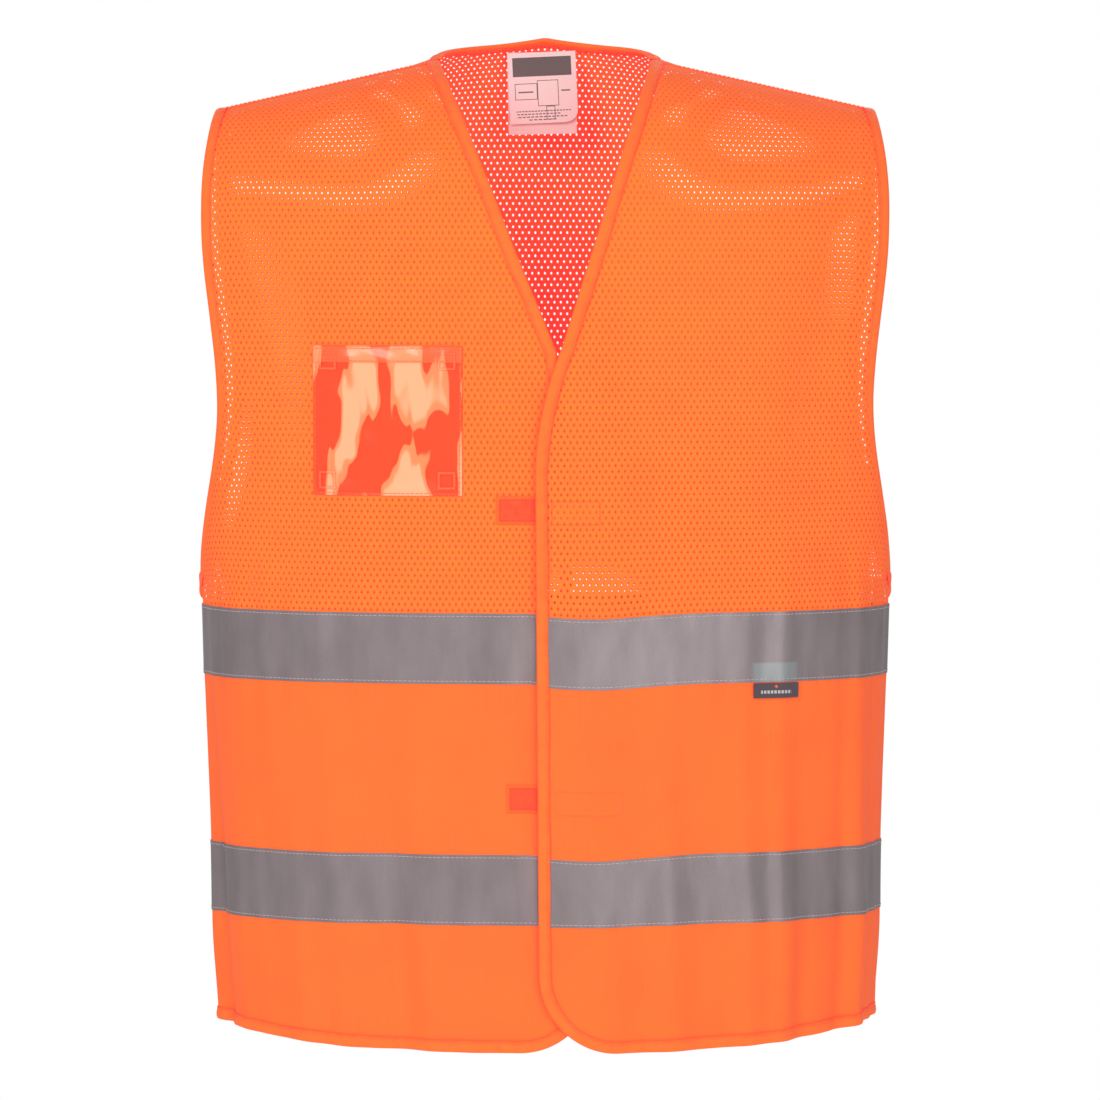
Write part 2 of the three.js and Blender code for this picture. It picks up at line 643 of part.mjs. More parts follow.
function addHemBinding() {
  const frontStops = (front) => {
    const edges = frontEdges(front);
    const place = (t, f) => frontPlace(front, t, f, edges.sideCentre, edges.side);
    const shares = Array.from({ length: SIDE_COLUMNS + 1 }, (_, k) => k / SIDE_COLUMNS);
    return shares.map((f) => [place(LOWER_ROWS[0], f), place(LOWER_ROWS[1], f)]);
  };
  const backStop = (share) => BACK_LOWER_ROWS.slice(0, 2).map((t) => backPlace(share, t));
  const back = BACK_SHARES.map(backStop);
  const path = [...frontStops(FRONTS.left), ...back.reverse(), ...frontStops(FRONTS.right).reverse()];
  add("hem_binding", binding(path, false), "binding");
}

function addPatches(kind, front, inner, outer) {
  for (const { name, beside, width, drop } of front.patches) {
    const top = PATCH_TOPS[name] - drop;
    const rows = [top - PATCH_HEIGHT, top];
    const from = Math.max(...rows.map((z) => boundEdge(front, z, TRIM_INSET))) + beside;
    const to = from + width;
    const geometry = frontShell(front, rows, 4, inner, outer, () => from, () => to);
    add(`${kind}_patch_${name}`, geometry, "hookLoop");
  }
}

// The pocket's clear sheet is bent only across, so each of its facets is one upright plane.
function pocketSheet(from, to, low, high, near) {
  const steps = 4;
  const sign = FRONTS.right.sign;
  const level = -POCKET.top - POCKET.height / 2;
  const line = (n) =>
    Array.from({ length: steps + 1 }, (_, k) => {
      const { point } = surface(-1, sign * lerp(from, to, k / steps), level, n);
      return new THREE.Vector2(point.x, point.y);
    });
  const outline = [...line(near), ...line(near + POCKET.sheet).reverse()];
  const geometry = new THREE.ExtrudeGeometry(new THREE.Shape(outline), {
    depth: high - low,
    bevelEnabled: false,
  });
  return geometry.translate(0, 0, low);
}

function addPocket() {
  const high = -POCKET.top;
  const low = high - POCKET.height;
  const { from, to, standOff, sheet, hem } = POCKET;
  add("id_pocket_window", pocketSheet(from, to, low, high, standOff), "clear");
  const overSheet = standOff + sheet + GAP;
  add("id_pocket_hem", pocketSheet(from, to, high - hem, high, overSheet), "clear");
}

function addNeckLabel() {
  LABEL.lengths.forEach((length, k) => {
    const leaf = new THREE.BoxGeometry(LABEL.width, LABEL.leaf, length);
    const y = LABEL.y + k * (LABEL.leaf + GAP);
    leaf.translate(LABEL.from + LABEL.width / 2, y, LABEL.top - length / 2);
    add(["neck_label_front_leaf", "neck_label_back_leaf"][k], leaf, "label");
  });
}

function addSideTab() {
  const high = UPPER_TAPE[0] - GAP;
  const rows = [high - TAB.length, high];
  const cell = (i, j) => ({ side: -1, x: TAB.from + (TAB.width * j) / 2, t: rows[i] });
  add("side_tab", shell(1, 2, cell, ON_FABRIC, ON_FABRIC + TAB.thickness), "tab");
}

for (const [name, front] of Object.entries(FRONTS)) {
  addFront("front_" + name, front);
  addFrontBinding("front_" + name, front);
}
addBack();
addNeckBinding();
addHemBinding();
addArmholeBinding("armhole_binding_left", FRONTS.left);
addArmholeBinding("armhole_binding_right", FRONTS.right);
addPatches("loop", FRONTS.right, ON_FABRIC, ON_FABRIC + LOOP_PATCH);
addPatches("hook", FRONTS.left, -GAP - HOOK_PATCH, -GAP);
addPocket();
addNeckLabel();
addSideTab();

export default vest;
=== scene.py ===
"""High visibility vest: an orange work vest with a mesh top, a woven lower part, two rings of
reflective tape, bound edges, a hook-and-loop front, a clear badge pocket and a neck label.

The cloth is laid over one smooth body surface, in millimetres, and written in metres.
"""
import json
import math

import bpy
import numpy as np
from bpy.props import FloatProperty, FloatVectorProperty, IntProperty, PointerProperty
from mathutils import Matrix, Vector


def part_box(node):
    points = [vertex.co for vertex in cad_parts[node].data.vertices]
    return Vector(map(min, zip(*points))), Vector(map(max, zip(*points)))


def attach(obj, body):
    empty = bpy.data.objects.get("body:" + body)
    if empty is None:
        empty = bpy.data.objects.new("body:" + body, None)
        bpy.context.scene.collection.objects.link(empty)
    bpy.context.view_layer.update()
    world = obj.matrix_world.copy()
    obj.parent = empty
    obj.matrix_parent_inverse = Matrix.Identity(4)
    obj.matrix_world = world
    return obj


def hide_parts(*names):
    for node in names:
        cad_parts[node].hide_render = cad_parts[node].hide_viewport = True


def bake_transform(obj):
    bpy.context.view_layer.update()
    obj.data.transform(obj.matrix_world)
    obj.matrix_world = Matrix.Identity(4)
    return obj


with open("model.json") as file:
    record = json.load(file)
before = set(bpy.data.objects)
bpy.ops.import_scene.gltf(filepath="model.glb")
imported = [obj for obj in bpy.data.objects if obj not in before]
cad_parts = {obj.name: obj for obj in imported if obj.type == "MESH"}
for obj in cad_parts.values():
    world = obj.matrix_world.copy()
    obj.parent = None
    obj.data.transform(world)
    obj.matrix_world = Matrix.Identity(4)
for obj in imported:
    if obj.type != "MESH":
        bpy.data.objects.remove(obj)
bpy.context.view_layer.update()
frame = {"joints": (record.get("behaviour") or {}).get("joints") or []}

bl_info = {
    "name": "High Visibility Vest",
    "version": (1, 0, 0),
    "blender": (4, 5, 0),
    "location": "3D View > Sidebar > Vest",
    "description": "Builds the cloth, trim and studio of a high visibility vest",
    "category": "Add Mesh",
}

MM = 0.001

# ------------------------------------------------------------------ the body's measures, mm

LENGTH = 703.0  # neck end of the shoulder seam down to the front hem
SIDE_RISE = 12.0  # the hem is this much higher at the side seams
ARMHOLE_BOTTOM = 372.0
SHOULDER_DROP = 36.0
SHOULDER_START = 130.0  # the vest hangs straight down below this level
SHOULDER_GIRTH = 92.0  # levels spent on the way over the shoulder
HALF_WIDTHS = {"hem": 234.0, "tape": 239.0, "underarm": 247.0, "waist": 233.0, "chest": 244.0,
               "tip": 237.0}
WAIST_DEPTH, CHEST_DEPTH = 244.0, 110.0  # heights of the narrow and wide places of the armhole
BACK_NARROWER = 6.0
DEPTH_CHEST, DEPTH_HEM = 121.0, 124.0
ARMHOLE_HALF_GAP = 62.0
ROUNDNESS = 2.3
OPEN_ROUNDNESS = 0.8
OPEN_EDGE_TURN = 0.12
NECK_HALF_WIDTH = 76.0
NECK_BACK_REACH, NECK_BACK_LIFT, NECK_LIFT_REACH, NECK_CURVE = 0.62, 34.5, 150.0, 2.2
V_BOTTOM = 205.0
CORNER_RADIUS = 56.0
OVERLAP_LIFT, OVERLAP_MARGIN, OVERLAP_RAMP, OVERLAP_RISE = 5.7, 5.0, 64.0, 55.0

HEM, UNDERARM, KNEE = -LENGTH, -ARMHOLE_BOTTOM, -SHOULDER_START
SHOULDER = KNEE + SHOULDER_GIRTH


def node_levels(*names):
    """Lowest and highest level of CAD nodes, in millimetres."""
    boxes = [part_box(name) for name in names]
    return min(b[0].z for b in boxes) / MM, max(b[1].z for b in boxes) / MM


UPPER_TAPE = node_levels("front_right_upper_tape_centre")
LOWER_TAPE = node_levels("front_right_lower_tape_centre")
SEAM = node_levels("back_lower")[1]

# Each front in its own coordinates: across grows from the centre towards the side seam.
FRONTS = {
    "left": {"sign": 1, "v_bottom": 11.0, "settled": -7.0, "settled_at": 296.0, "hem": -4.0},
    "right": {"sign": -1, "v_bottom": -8.0, "settled": -12.0, "settled_at": 241.0, "hem": -38.0},
}

# Heights of the cloth's layers above the body surface, mm.
CLOTH, TAPE, PATCH, VINYL = (0.40, 0.80), (1.05, 1.40), (1.05, 1.9), 1.5
MARK_HEIGHT = (VINYL + 0.45, VINYL + 1.25)  # the raised corner marks of the pocket


# ------------------------------------------------------------------ settings

def length(name, description, default, **limits):
    return FloatProperty(name=name, description=description, default=default,
                         subtype="DISTANCE", unit="LENGTH", precision=5, **limits)


def colour(name, description, default):
    return FloatVectorProperty(name=name, description=description, default=default,
                               subtype="COLOR", size=3, min=0.0, max=1.0)


class VestCloth(bpy.types.PropertyGroup):
    """Measures of the mesh knit, the woven cloth and their folds"""
    hole_pitch: length("Hole Pitch", "From hole to hole along a row of the mesh", 0.0045)
    row_pitch: length("Row Pitch", "From row to row of the mesh", 0.0041)
    front_hole: length("Front Hole", "Width of a hole in the fronts", 0.00115)
    back_hole: length("Back Hole", "Width of a hole in the back", 0.00145)
    hole_height: FloatProperty(name="Hole Height", default=1.62,
                               description="Height of a hole as a share of its width")
    grid: length("Cloth Grid", "Spacing of the woven cloth's points", 0.003)
    flute: length("Hem Flutes", "Height of the soft upright folds at the hem", 0.0028)
    billow: length("Billows", "Height of the broad soft folds of the mesh top", 0.0015)
    pucker: length("Puckers", "Height of the puckers beside the tapes", 0.00042)


class VestTrim(bpy.types.PropertyGroup):
    """Measures of the binding and the stitching"""
    binding_width: length("Binding Width", "Width of the folded edge binding", 0.0085)
    binding_wall: length("Binding Wall", "Thickness of the binding tape", 0.00045)
    stitch_pitch: length("Stitch Pitch", "From stitch to stitch", 0.0033)
    stitch_length: length("Stitch Length", "Length of thread that shows", 0.0028)
    thread: length("Thread", "Thickness of the sewing thread", 0.00048)
    tape_margin: length("Tape Margin", "Stitch row's distance from the tape's edge", 0.002)
    seed: IntProperty(name="Seed", description="Seed of the small irregularities", default=7)


class VestColours(bpy.types.PropertyGroup):
    """Colours of the cloth and the trim"""
    orange: colour("Orange", "Fluorescent orange cloth", (0.98, 0.225, 0.006))
    # Painted light: a constant emission of this colour, the same in light and in shade, standing in
    # for the dye's fluorescence.
    glow: colour("Glow", "Light that the fluorescent dye gives back", (1.0, 0.01, 0.13))
    # Darker orange: painted shade towards the knit's holes and along the binding's edges, and the
    # darker end of the random tone of the woven cloth and the binding.
    shade: colour("Shade", "Orange in the depth of the knit", (0.93, 0.115, 0.006))
    tape: colour("Tape", "Reflective tape", (0.30, 0.245, 0.255))
    thread: colour("Tape Thread", "Thread of the tapes' stitching", (0.74, 0.60, 0.60))
    pile: colour("Pile", "Hook and loop tape", (0.95, 0.125, 0.016))
    label: colour("Label", "Satin label", (0.84, 0.78, 0.78))
    print: colour("Print", "Printed marks", (0.055, 0.045, 0.045))
    tab: colour("Tab", "Side tab", (0.075, 0.055, 0.065))


class VestStudio(bpy.types.PropertyGroup):
    """Camera, floor and light"""
    distance: length("Camera Distance", "From the camera to the vest's front", 4.35)
    eye: length("Camera Height", "Height of the camera", -0.10)
    aim: length("Aim Height", "Height that the camera looks at", -0.346)
    aside: length("Camera Aside", "Place of the camera across", 0.0035)
    lens: FloatProperty(name="Lens", description="Focal length, mm", default=202.0)
    floor: length("Floor", "Height of the floor, a wearer's shoulder height below", -1.43)
    sky: FloatProperty(name="Sky", description="Light from the white surroundings", default=0.34)
    key: FloatProperty(name="Key Light", description="Power of the key light", default=48.0,
                       unit="POWER")


PROPERTY_GROUPS = {"vest_cloth": VestCloth, "vest_trim": VestTrim, "vest_colours": VestColours,
                   "vest_studio": VestStudio}


# ------------------------------------------------------------------ the body surface

def smooth(f):
    c = np.clip(f, 0.0, 1.0)
    return c * c * (3 - 2 * c)


def lerp(a, b, f):
    return a + (b - a) * f


SIDE_LINE = [(HEM, "hem"), (LOWER_TAPE[0], "tape"), (UNDERARM, "underarm"),
             (-WAIST_DEPTH, "waist"), (-CHEST_DEPTH, "chest"), (SHOULDER, "tip")]
SIDE_LEVELS = np.array([level for level, _ in SIDE_LINE])
SIDE_WIDTHS = np.array([HALF_WIDTHS[name] for _, name in SIDE_LINE])


def half_width(side, t):
    k = np.clip(np.searchsorted(SIDE_LEVELS, t), 1, len(SIDE_LEVELS) - 1)
    f = (t - SIDE_LEVELS[k - 1]) / (SIDE_LEVELS[k] - SIDE_LEVELS[k - 1])
    wide = lerp(SIDE_WIDTHS[k - 1], SIDE_WIDTHS[k], smooth(f))
    if side > 0:
        rise = np.clip((t - UNDERARM) / (SHOULDER - UNDERARM), 0, 1)
        wide = wide - BACK_NARROWER * np.sin(np.pi * rise)
    return wide


def armhole_gap(t):
    left = 1 - np.clip((t - UNDERARM) / (KNEE - UNDERARM), 0, 1)
    return ARMHOLE_HALF_GAP * np.sqrt(1 - left * left)


def surface(side, x, t):
    """Points of the body surface and their outward normals, at places across and levels."""
    x, t = np.broadcast_arrays(np.asarray(x, float), np.asarray(t, float))
    wide, gap = half_width(side, t), armhole_gap(t)
    deep = lerp(DEPTH_HEM, DEPTH_CHEST, np.clip((t - HEM) / (UNDERARM - HEM), 0, 1))
    is_open = gap / ARMHOLE_HALF_GAP
    power = lerp(1 / ROUNDNESS, OPEN_ROUNDNESS, is_open)
    across = np.minimum(np.abs(x) / wide, 1)
    rest = 1 - across ** ROUNDNESS
    reach = gap + (deep - gap) * rest ** power
    slope_x = power * (deep - gap) * ROUNDNESS * across ** (ROUNDNESS - 1) / wide
    plan_y = np.maximum(rest, OPEN_EDGE_TURN * is_open) ** (1 - power)
    size = np.hypot(slope_x, plan_y)
    plan_x, plan_y = slope_x / size, plan_y / size
    turn = np.clip((t - KNEE) / SHOULDER_GIRTH, 0, 1) * np.pi / 2
    slope = -SHOULDER_DROP / (HALF_WIDTHS["tip"] - NECK_HALF_WIDTH)
    line = slope * (np.abs(x) - NECK_HALF_WIDTH)
    left = np.maximum(1 - (x / NECK_LIFT_REACH) ** 2, 0)
    lift = NECK_BACK_LIFT if side > 0 else 0.0
    neck = lift * left ** 2
    neck_slope = -4 * lift * left * np.abs(x) / NECK_LIFT_REACH ** 2
    c, s = np.cos(turn), np.sin(turn)
    climb = (line - KNEE) * c + 2 * neck * np.cos(2 * turn)
    slope_up = slope * s + neck_slope * np.sin(2 * turn)
    normal = np.stack([np.sign(x) * (plan_x * c * climb - plan_y * slope_up * reach * s),
                       side * plan_y * climb, plan_y * reach * s], -1)
    normal /= np.maximum(np.linalg.norm(normal, axis=-1, keepdims=True), 1e-9)
    z = np.minimum(t, KNEE) + (line - KNEE) * s + neck * np.sin(2 * turn)
    return np.stack([x, side * reach * c, z], -1), normal


def angle_round(side, x, t):
    """Running angle round the body: 0 at the centre front, half a turn at the centre back."""
    share = np.minimum(np.abs(x) / half_width(side, t), 1)
    angle = np.sign(x) * np.arcsin(share ** (ROUNDNESS / 2))
    return angle if side < 0 else np.where(x < 0, -np.pi, np.pi) - angle


# Soft folds, as (waves round the body, share of the height, phase).
HEM_WAVES = [(5, 0.5, 0.4), (9, 0.6, 2.1), (14, 0.55, 4.4), (21, 0.5, 1.0), (29, 0.36, 5.2),
             (41, 0.2, 2.7)]
TAPE_WAVES = [(17, 0.35, 0.9), (31, 0.3, 3.3), (47, 0.22, 5.0)]
TOP_WAVES = [(4, 0.5, 1.2), (7, 0.6, 3.9), (11, 0.45, 0.6), (16, 0.2, 2.8)]
PUCKER_WAVES = [(63, 0.5, 0.2), (97, 0.35, 1.9), (151, 0.25, 4.0)]
# Creases that run out sideways from the closure on the left front: level, slope, start, end.
CREASES = [(-312, -0.02, -2, 66), (-320, 0.05, 2, 88), (-327, -0.06, 0, 74),
           (-511, 0.03, 0, 84), (-521, -0.05, 4, 108), (-531, 0.07, 2, 92)]
CREASE_DEPTH, CREASE_WIDTH = 0.55, 2.4
CREASE_START, CREASE_END = 12.0, 40.0  # lengths over which a crease sets in and runs out
FOLD_WANDER, FOLD_WANDER_PITCH = 0.03, 90.0  # the folds wander by this angle, in radians
BILLOW_WANDER, BILLOW_WANDER_PITCH = 0.05, 55.0
PUCKER_REACH = 7.0
FLUTE_START, TAPE_WAVE_START = 30.0, 60.0  # above the upper tape's top edge
TAPE_WAVE_SHARE = 0.5
BILLOW_START, BILLOW_RAMP, BILLOW_END, BILLOW_FADE = -40.0, 120.0, 60.0, 90.0


def waves(terms, angle):
    return sum(share * np.sin(count * angle + phase) for count, share, phase in terms)


def folds(side, x, t):
    """Height of the soft folds, puckers and creases over the smooth body, in millimetres."""
    cloth = bpy.context.scene.vest_cloth
    angle = angle_round(side, x, t)
    lean = angle + FOLD_WANDER * np.sin(t / FOLD_WANDER_PITCH)
    flute_top = UPPER_TAPE[1] + FLUTE_START
    down = smooth((flute_top - t) / (flute_top - HEM))
    height = cloth.flute / MM * down * waves(HEM_WAVES, lean)
    tight = smooth((UPPER_TAPE[1] + TAPE_WAVE_START - t) / TAPE_WAVE_START)
    height = height + cloth.flute / MM * tight * waves(TAPE_WAVES, lean) * TAPE_WAVE_SHARE
    top = smooth((t - UPPER_TAPE[1] - BILLOW_START) / BILLOW_RAMP)
    top = top * smooth((KNEE + BILLOW_END - t) / BILLOW_FADE)
    lean = lean + BILLOW_WANDER * np.sin(t / BILLOW_WANDER_PITCH)
    height = height + cloth.billow / MM * top * waves(TOP_WAVES, lean)
    ripple = cloth.pucker / MM * waves(PUCKER_WAVES, angle)
    for edge in (*UPPER_TAPE, *LOWER_TAPE):
        height = height + ripple * np.exp(-np.abs(t - edge) / PUCKER_REACH)
    if side < 0:
        for level, slope, start, end in CREASES:
            along = smooth((x - start) / CREASE_START) * smooth((end - x) / CREASE_END)
            off = (t - level - slope * (x - start)) / CREASE_WIDTH
            height = height - CREASE_DEPTH * along * np.exp(-off * off)
    return height


SAG = 4.0  # the left front hangs this much lower beside the closure
SAG_AT, SAG_WIDTH = 36.0, 46.0
SAG_INSIDE, SAG_INSIDE_RAMP = -12.0, 16.0
SAG_LOW, SAG_LOW_RAMP, SAG_HIGH, SAG_HIGH_RAMP = -640.0, 80.0, -330.0, 70.0


def sag(side, x, t):
    """How far the cloth has slipped down beside the closure, by place."""
    if side > 0:
        return np.zeros(np.broadcast(x, t).shape)
    across = np.exp(-((x - SAG_AT) / SAG_WIDTH) ** 2) * smooth((x - SAG_INSIDE) / SAG_INSIDE_RAMP)
    settled = smooth((t - SAG_LOW) / SAG_LOW_RAMP) * smooth((SAG_HIGH - t) / SAG_HIGH_RAMP)
    return SAG * across * settled


def overlap_lift(front, x, z):
    """Lift of the left front over the right front's edge."""
    if front["sign"] < 0:
        return 0.0
    hidden = -front_edge(FRONTS["right"], z)
    sideways = 1 - smooth((x - hidden - OVERLAP_MARGIN) / OVERLAP_RAMP)
    return OVERLAP_LIFT * sideways * (1 - smooth((z + V_BOTTOM) / OVERLAP_RISE))


def on_cloth(side, x, t, height, lift=0.0):
    """Points at a height above the body surface, folds included, in metres."""
    x, t = np.broadcast_arrays(np.asarray(x, float), np.asarray(t, float))
    point, normal = surface(side, x, t)
    total = np.asarray(height + lift + folds(side, x, t))
    point = point + normal * total[..., None]
    point[..., 2] -= sag(side, x, t)
    return point * MM


# ------------------------------------------------------------------ outlines

def front_edge(front, z):
    """Across of a front's free edge: the neckline, then the centre edge."""
    z = np.asarray(z, float)
    neckline = lerp(front["v_bottom"], NECK_HALF_WIDTH, (z + V_BOTTOM) / V_BOTTOM)
    f = (z + front["settled_at"]) / (front["settled_at"] - V_BOTTOM)
    turning = lerp(front["settled"], front["v_bottom"], f * f)
    straight = lerp(front["settled"], front["hem"],
                    (z + front["settled_at"]) / (HEM + front["settled_at"]))
    return np.where(z > -V_BOTTOM, neckline, np.where(z > -front["settled_at"], turning, straight))


def bound_edge(front, z, inset):
    """The free edge with its rounded lower corner, moved into the cloth."""
    slant = (NECK_HALF_WIDTH - front["v_bottom"]) / V_BOTTOM
    straight = front_edge(front, z) + inset * np.where(z > -V_BOTTOM, math.hypot(1, slant), 1.0)
    radius = CORNER_RADIUS - inset
    above = np.clip(z - (HEM + inset), 0, radius)
    return straight + radius - np.sqrt(np.maximum(radius ** 2 - (radius - above) ** 2, 0))


def between(side, t, x0, x1, f):
    """Spreads columns evenly round the oval between two places across it."""
    wide = half_width(side, t)
    power = ROUNDNESS / 2
    a0 = np.sign(x0) * np.arcsin(np.minimum(np.abs(x0) / wide, 1) ** power)
    a1 = np.sign(x1) * np.arcsin(np.minimum(np.abs(x1) / wide, 1) ** power)
    a = lerp(a0, a1, f)
    return np.sign(a) * wide * np.abs(np.sin(a)) ** (1 / power)


def hem_level(own, t, wide):
    """The rows near the hem bend up to follow its rise at the sides."""
    share = np.minimum(np.abs(own) / wide, 1)
    return t + SIDE_RISE * share ** 3 * (1 - smooth((t - HEM) / (LOWER_TAPE[0] - HEM)))


def bent(side, own, t):
    """Moves places from their row's level to the bent level, staying on the side seam."""
    wide = half_width(side, t)
    level = hem_level(own, t, wide)
    share = np.minimum(np.abs(own) / wide, 1)
    return own + np.sign(own) * (half_width(side, level) - wide) * share ** 4, level


def front_places(front, rows, columns, inset=0.0):
    """A grid of places (x, t, lift) over a front, from its free edge to its side seam."""
    t = np.asarray(rows, float)[:, None]
    f = np.linspace(0, 1, columns)[None, :]
    own = between(-1, t, bound_edge(front, t, inset), half_width(-1, t), f)
    own, level = bent(-1, own, np.broadcast_to(t, own.shape))
    x = front["sign"] * own
    return x, level, overlap_lift(front, x, level)


def back_places(rows, columns):
    """A grid of places (x, t, lift) over the back, from side seam to side seam."""
    t = np.asarray(rows, float)[:, None]
    f = np.linspace(0, 1, columns)[None, :]
    own = between(1, t, -half_width(1, t), half_width(1, t), f)
    return *bent(1, own, np.broadcast_to(t, own.shape)), 0.0


def back_neck_level(x):
    """Level of the back's neckline at a place across."""
    across = np.minimum(np.abs(x) / NECK_HALF_WIDTH, 1)
    reach = NECK_BACK_REACH * (1 - across ** NECK_CURVE) ** (1 / NECK_CURVE)
    return KNEE + SHOULDER_GIRTH * np.arccos(reach) / (np.pi / 2)


def spread(low, high, step):
    return np.linspace(low, high, max(2, round(abs(high - low) / step) + 1))


# ------------------------------------------------------------------ meshes

def new_mesh(name, points, faces, material, cloth=None):
    """An object from points in metres and faces; cloth is each point's place on the flat cut."""
    mesh = bpy.data.meshes.new(name)
    mesh.from_pydata(np.asarray(points, float).reshape(-1, 3).tolist(), [],
                     [tuple(face) for face in faces])
    mesh.update()
    mesh.shade_smooth()
    if cloth is not None:
        flat = np.zeros((len(mesh.vertices), 3), np.float32)
        flat[:, :2] = np.asarray(cloth, float).reshape(-1, 2)
        mesh.attributes.new("cloth", "FLOAT_VECTOR", "POINT").data.foreach_set("vector",
                                                                              flat.ravel())
    piece = bpy.data.objects.new(name, mesh)
    bpy.context.scene.collection.objects.link(piece)
    mesh.materials.append(material)
    return piece


def outward(faces, flip):
    return [face[::-1] for face in faces] if flip else faces


def grid_faces(rows, columns, start=0):
    """Quads over a grid whose points are stored row by row."""
    a = np.arange(rows - 1)[:, None] * columns + np.arange(columns - 1)[None, :] + start
    return np.stack([a, a + 1, a + columns + 1, a + columns], -1).reshape(-1, 4).tolist()


def slab_faces(rows, columns):
    """Quads of a thin closed slab: outer grid, inner grid and the rim between them."""
    count = rows * columns
    faces = grid_faces(rows, columns)
    faces += [face[::-1] for face in grid_faces(rows, columns, count)]
    index = np.arange(count).reshape(rows, columns)
    rim = np.concatenate([index[0, :-1], index[:-1, -1], index[-1, :0:-1], index[:0:-1, 0]])
    following = np.roll(rim, -1)
    faces += [(b, a, a + count, b + count) for a, b in zip(rim.tolist(), following.tolist())]
    return faces


def arc(points, axis):
    """Running length along one axis of a grid of points, in millimetres."""
    steps = np.linalg.norm(np.diff(points, axis=axis), axis=-1) / MM
    start = np.zeros_like(np.take(steps, [0], axis=axis))
    return np.concatenate([start, np.cumsum(steps, axis=axis)], axis=axis)


def cut_of(points):
    """Width, length and area of the flat cut that a grid of cloth was made from, in metres."""
    across, along = arc(points, 1), arc(points, 0)
    a, b = np.diff(points, axis=1)[:-1], np.diff(points, axis=0)[:, :-1]
    area = float(np.linalg.norm(np.cross(a, b), axis=-1).sum())
    return float(across[:, -1].max()) * MM, float(along[-1].max()) * MM, area


def cloth_places(side, x, t):
    """Flat places for weave patterns: arc length across from the centre line, and level."""
    middle = np.mean(t)
    x_line = np.linspace(0, half_width(side, middle), 160)
    line, _ = surface(side, x_line, np.full(x_line.shape, middle))
    run = run_along(line)
    scale = half_width(side, t) / half_width(side, middle)
    u = np.sign(x) * np.interp(np.abs(x) / scale, x_line, run)
    return np.stack([u, t], -1)


def thin_sheet(name, outer, inner, look, places=None, flip=False):
    """A closed slab between two grids of points; places are on its flat cut."""
    points = np.concatenate([outer.reshape(-1, 3), inner.reshape(-1, 3)])
    if places is not None:
        places = np.concatenate([places.reshape(-1, 2)] * 2)
    faces = outward(slab_faces(*outer.shape[:2]), flip)
    return new_mesh(name, points, faces, material(look), places)


def slab(name, side, grid, heights, look, flip=False):
    """A sheet of cloth with real thickness over a grid of places (x, t, lift)."""
    x, t, lift = grid
    low, high = heights
    outer, inner = on_cloth(side, x, t, high, lift), on_cloth(side, x, t, low, lift)
    piece = thin_sheet(name, outer, inner, look, cloth_places(side, x, t), flip)
    piece.data.set_sharp_from_angle(angle=math.radians(60))
    record_cut(piece, cut_of(outer))
    return piece


def record_cut(piece, cut):
    piece["cut_width"], piece["cut_length"], piece["cut_area"] = cut


# A stitch from end to end, as shares: place along it, thickness, rise off the cloth.
STITCH_STATIONS = [(-1.0, 0.35, -0.9), (-0.72, 0.95, 0.15), (0.0, 1.1, 0.55), (0.72, 0.95, 0.15),
                   (1.0, 0.35, -0.9)]
STITCH_SIDES = 5
PITCH_SPREAD = 0.03  # how uneven the stitches' spacing is, as a share of it


def tubes(name, groups, look):
    """Short stitches as one mesh. Each group is (middles, tangents, normals) in metres."""
    trim = bpy.context.scene.vest_trim
    half, radius = trim.stitch_length / 2, trim.thread / 2
    sides = STITCH_SIDES
    around = np.arange(sides) * 2 * np.pi / sides
    points, faces = [], []
    for middles, tangents, normals in groups:
        across = np.cross(tangents, normals)
        for middle, tangent, normal, aside in zip(middles, tangents, normals, across):
            start = len(points)
            for along, size, rise in STITCH_STATIONS:
                centre = middle + tangent * half * along + normal * radius * rise
                for angle in around:
                    ring = normal * math.cos(angle) + aside * math.sin(angle)
                    points.append(centre + ring * radius * size)
            for i in range(len(STITCH_STATIONS) - 1):
                for j in range(sides):
                    a, b = start + i * sides + j, start + i * sides + (j + 1) % sides
                    faces.append((a, b, b + sides, a + sides))
            last = start + (len(STITCH_STATIONS) - 1) * sides
            faces.append(tuple(range(start + sides - 1, start - 1, -1)))
            faces.append(tuple(range(last, last + sides)))
    return new_mesh(name, points, faces, material(look))


def run_along(points):
    """Running length of a path."""
    return np.concatenate([[0], np.cumsum(np.linalg.norm(np.diff(points, axis=0), axis=1))])


def read_at(at, run, values):
    """A path's points or directions at running lengths along it."""
    return np.stack([np.interp(at, run, values[:, k]) for k in range(3)], 1)


def along_path(points, normals, pitch, seed):
    """Evenly spaced stitch frames along a path, with small seeded irregularities."""
    run = run_along(points)
    count = max(2, int(run[-1] / pitch))
    dice = np.random.default_rng(seed)
    at = (np.arange(count) + 0.5) * run[-1] / count + dice.normal(0, pitch * PITCH_SPREAD, count)
    at = np.clip(at, 0, run[-1])
    middles, facing = read_at(at, run, points), read_at(at, run, normals)
    ahead, behind = (read_at(at + shift * pitch, run, points) for shift in (0.3, -0.3))
    tangents = ahead - behind
    tangents /= np.linalg.norm(tangents, axis=1, keepdims=True)
    facing -= tangents * (facing * tangents).sum(1, keepdims=True)
    facing /= np.linalg.norm(facing, axis=1, keepdims=True)
    return middles, tangents, facing


# ------------------------------------------------------------------ joints

def join_front(piece, which):
    """Bakes a front's piece in place; the direction away from its hinge is worked out but not used.
    """
    joint = next(j for j in frame["joints"] if j["name"] == f"front_{which}_open")
    hinge = np.array(joint["pos_m"])
    axis = np.array(joint["axis"])
    _, normal = surface(-1, hinge[0] / MM, hinge[2] / MM)
    towards = np.cross(axis, normal)
    towards /= np.linalg.norm(towards)
    if towards[0] * FRONTS[which]["sign"] > 0:
        towards = -towards
    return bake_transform(piece)


# ------------------------------------------------------------------ shader maths

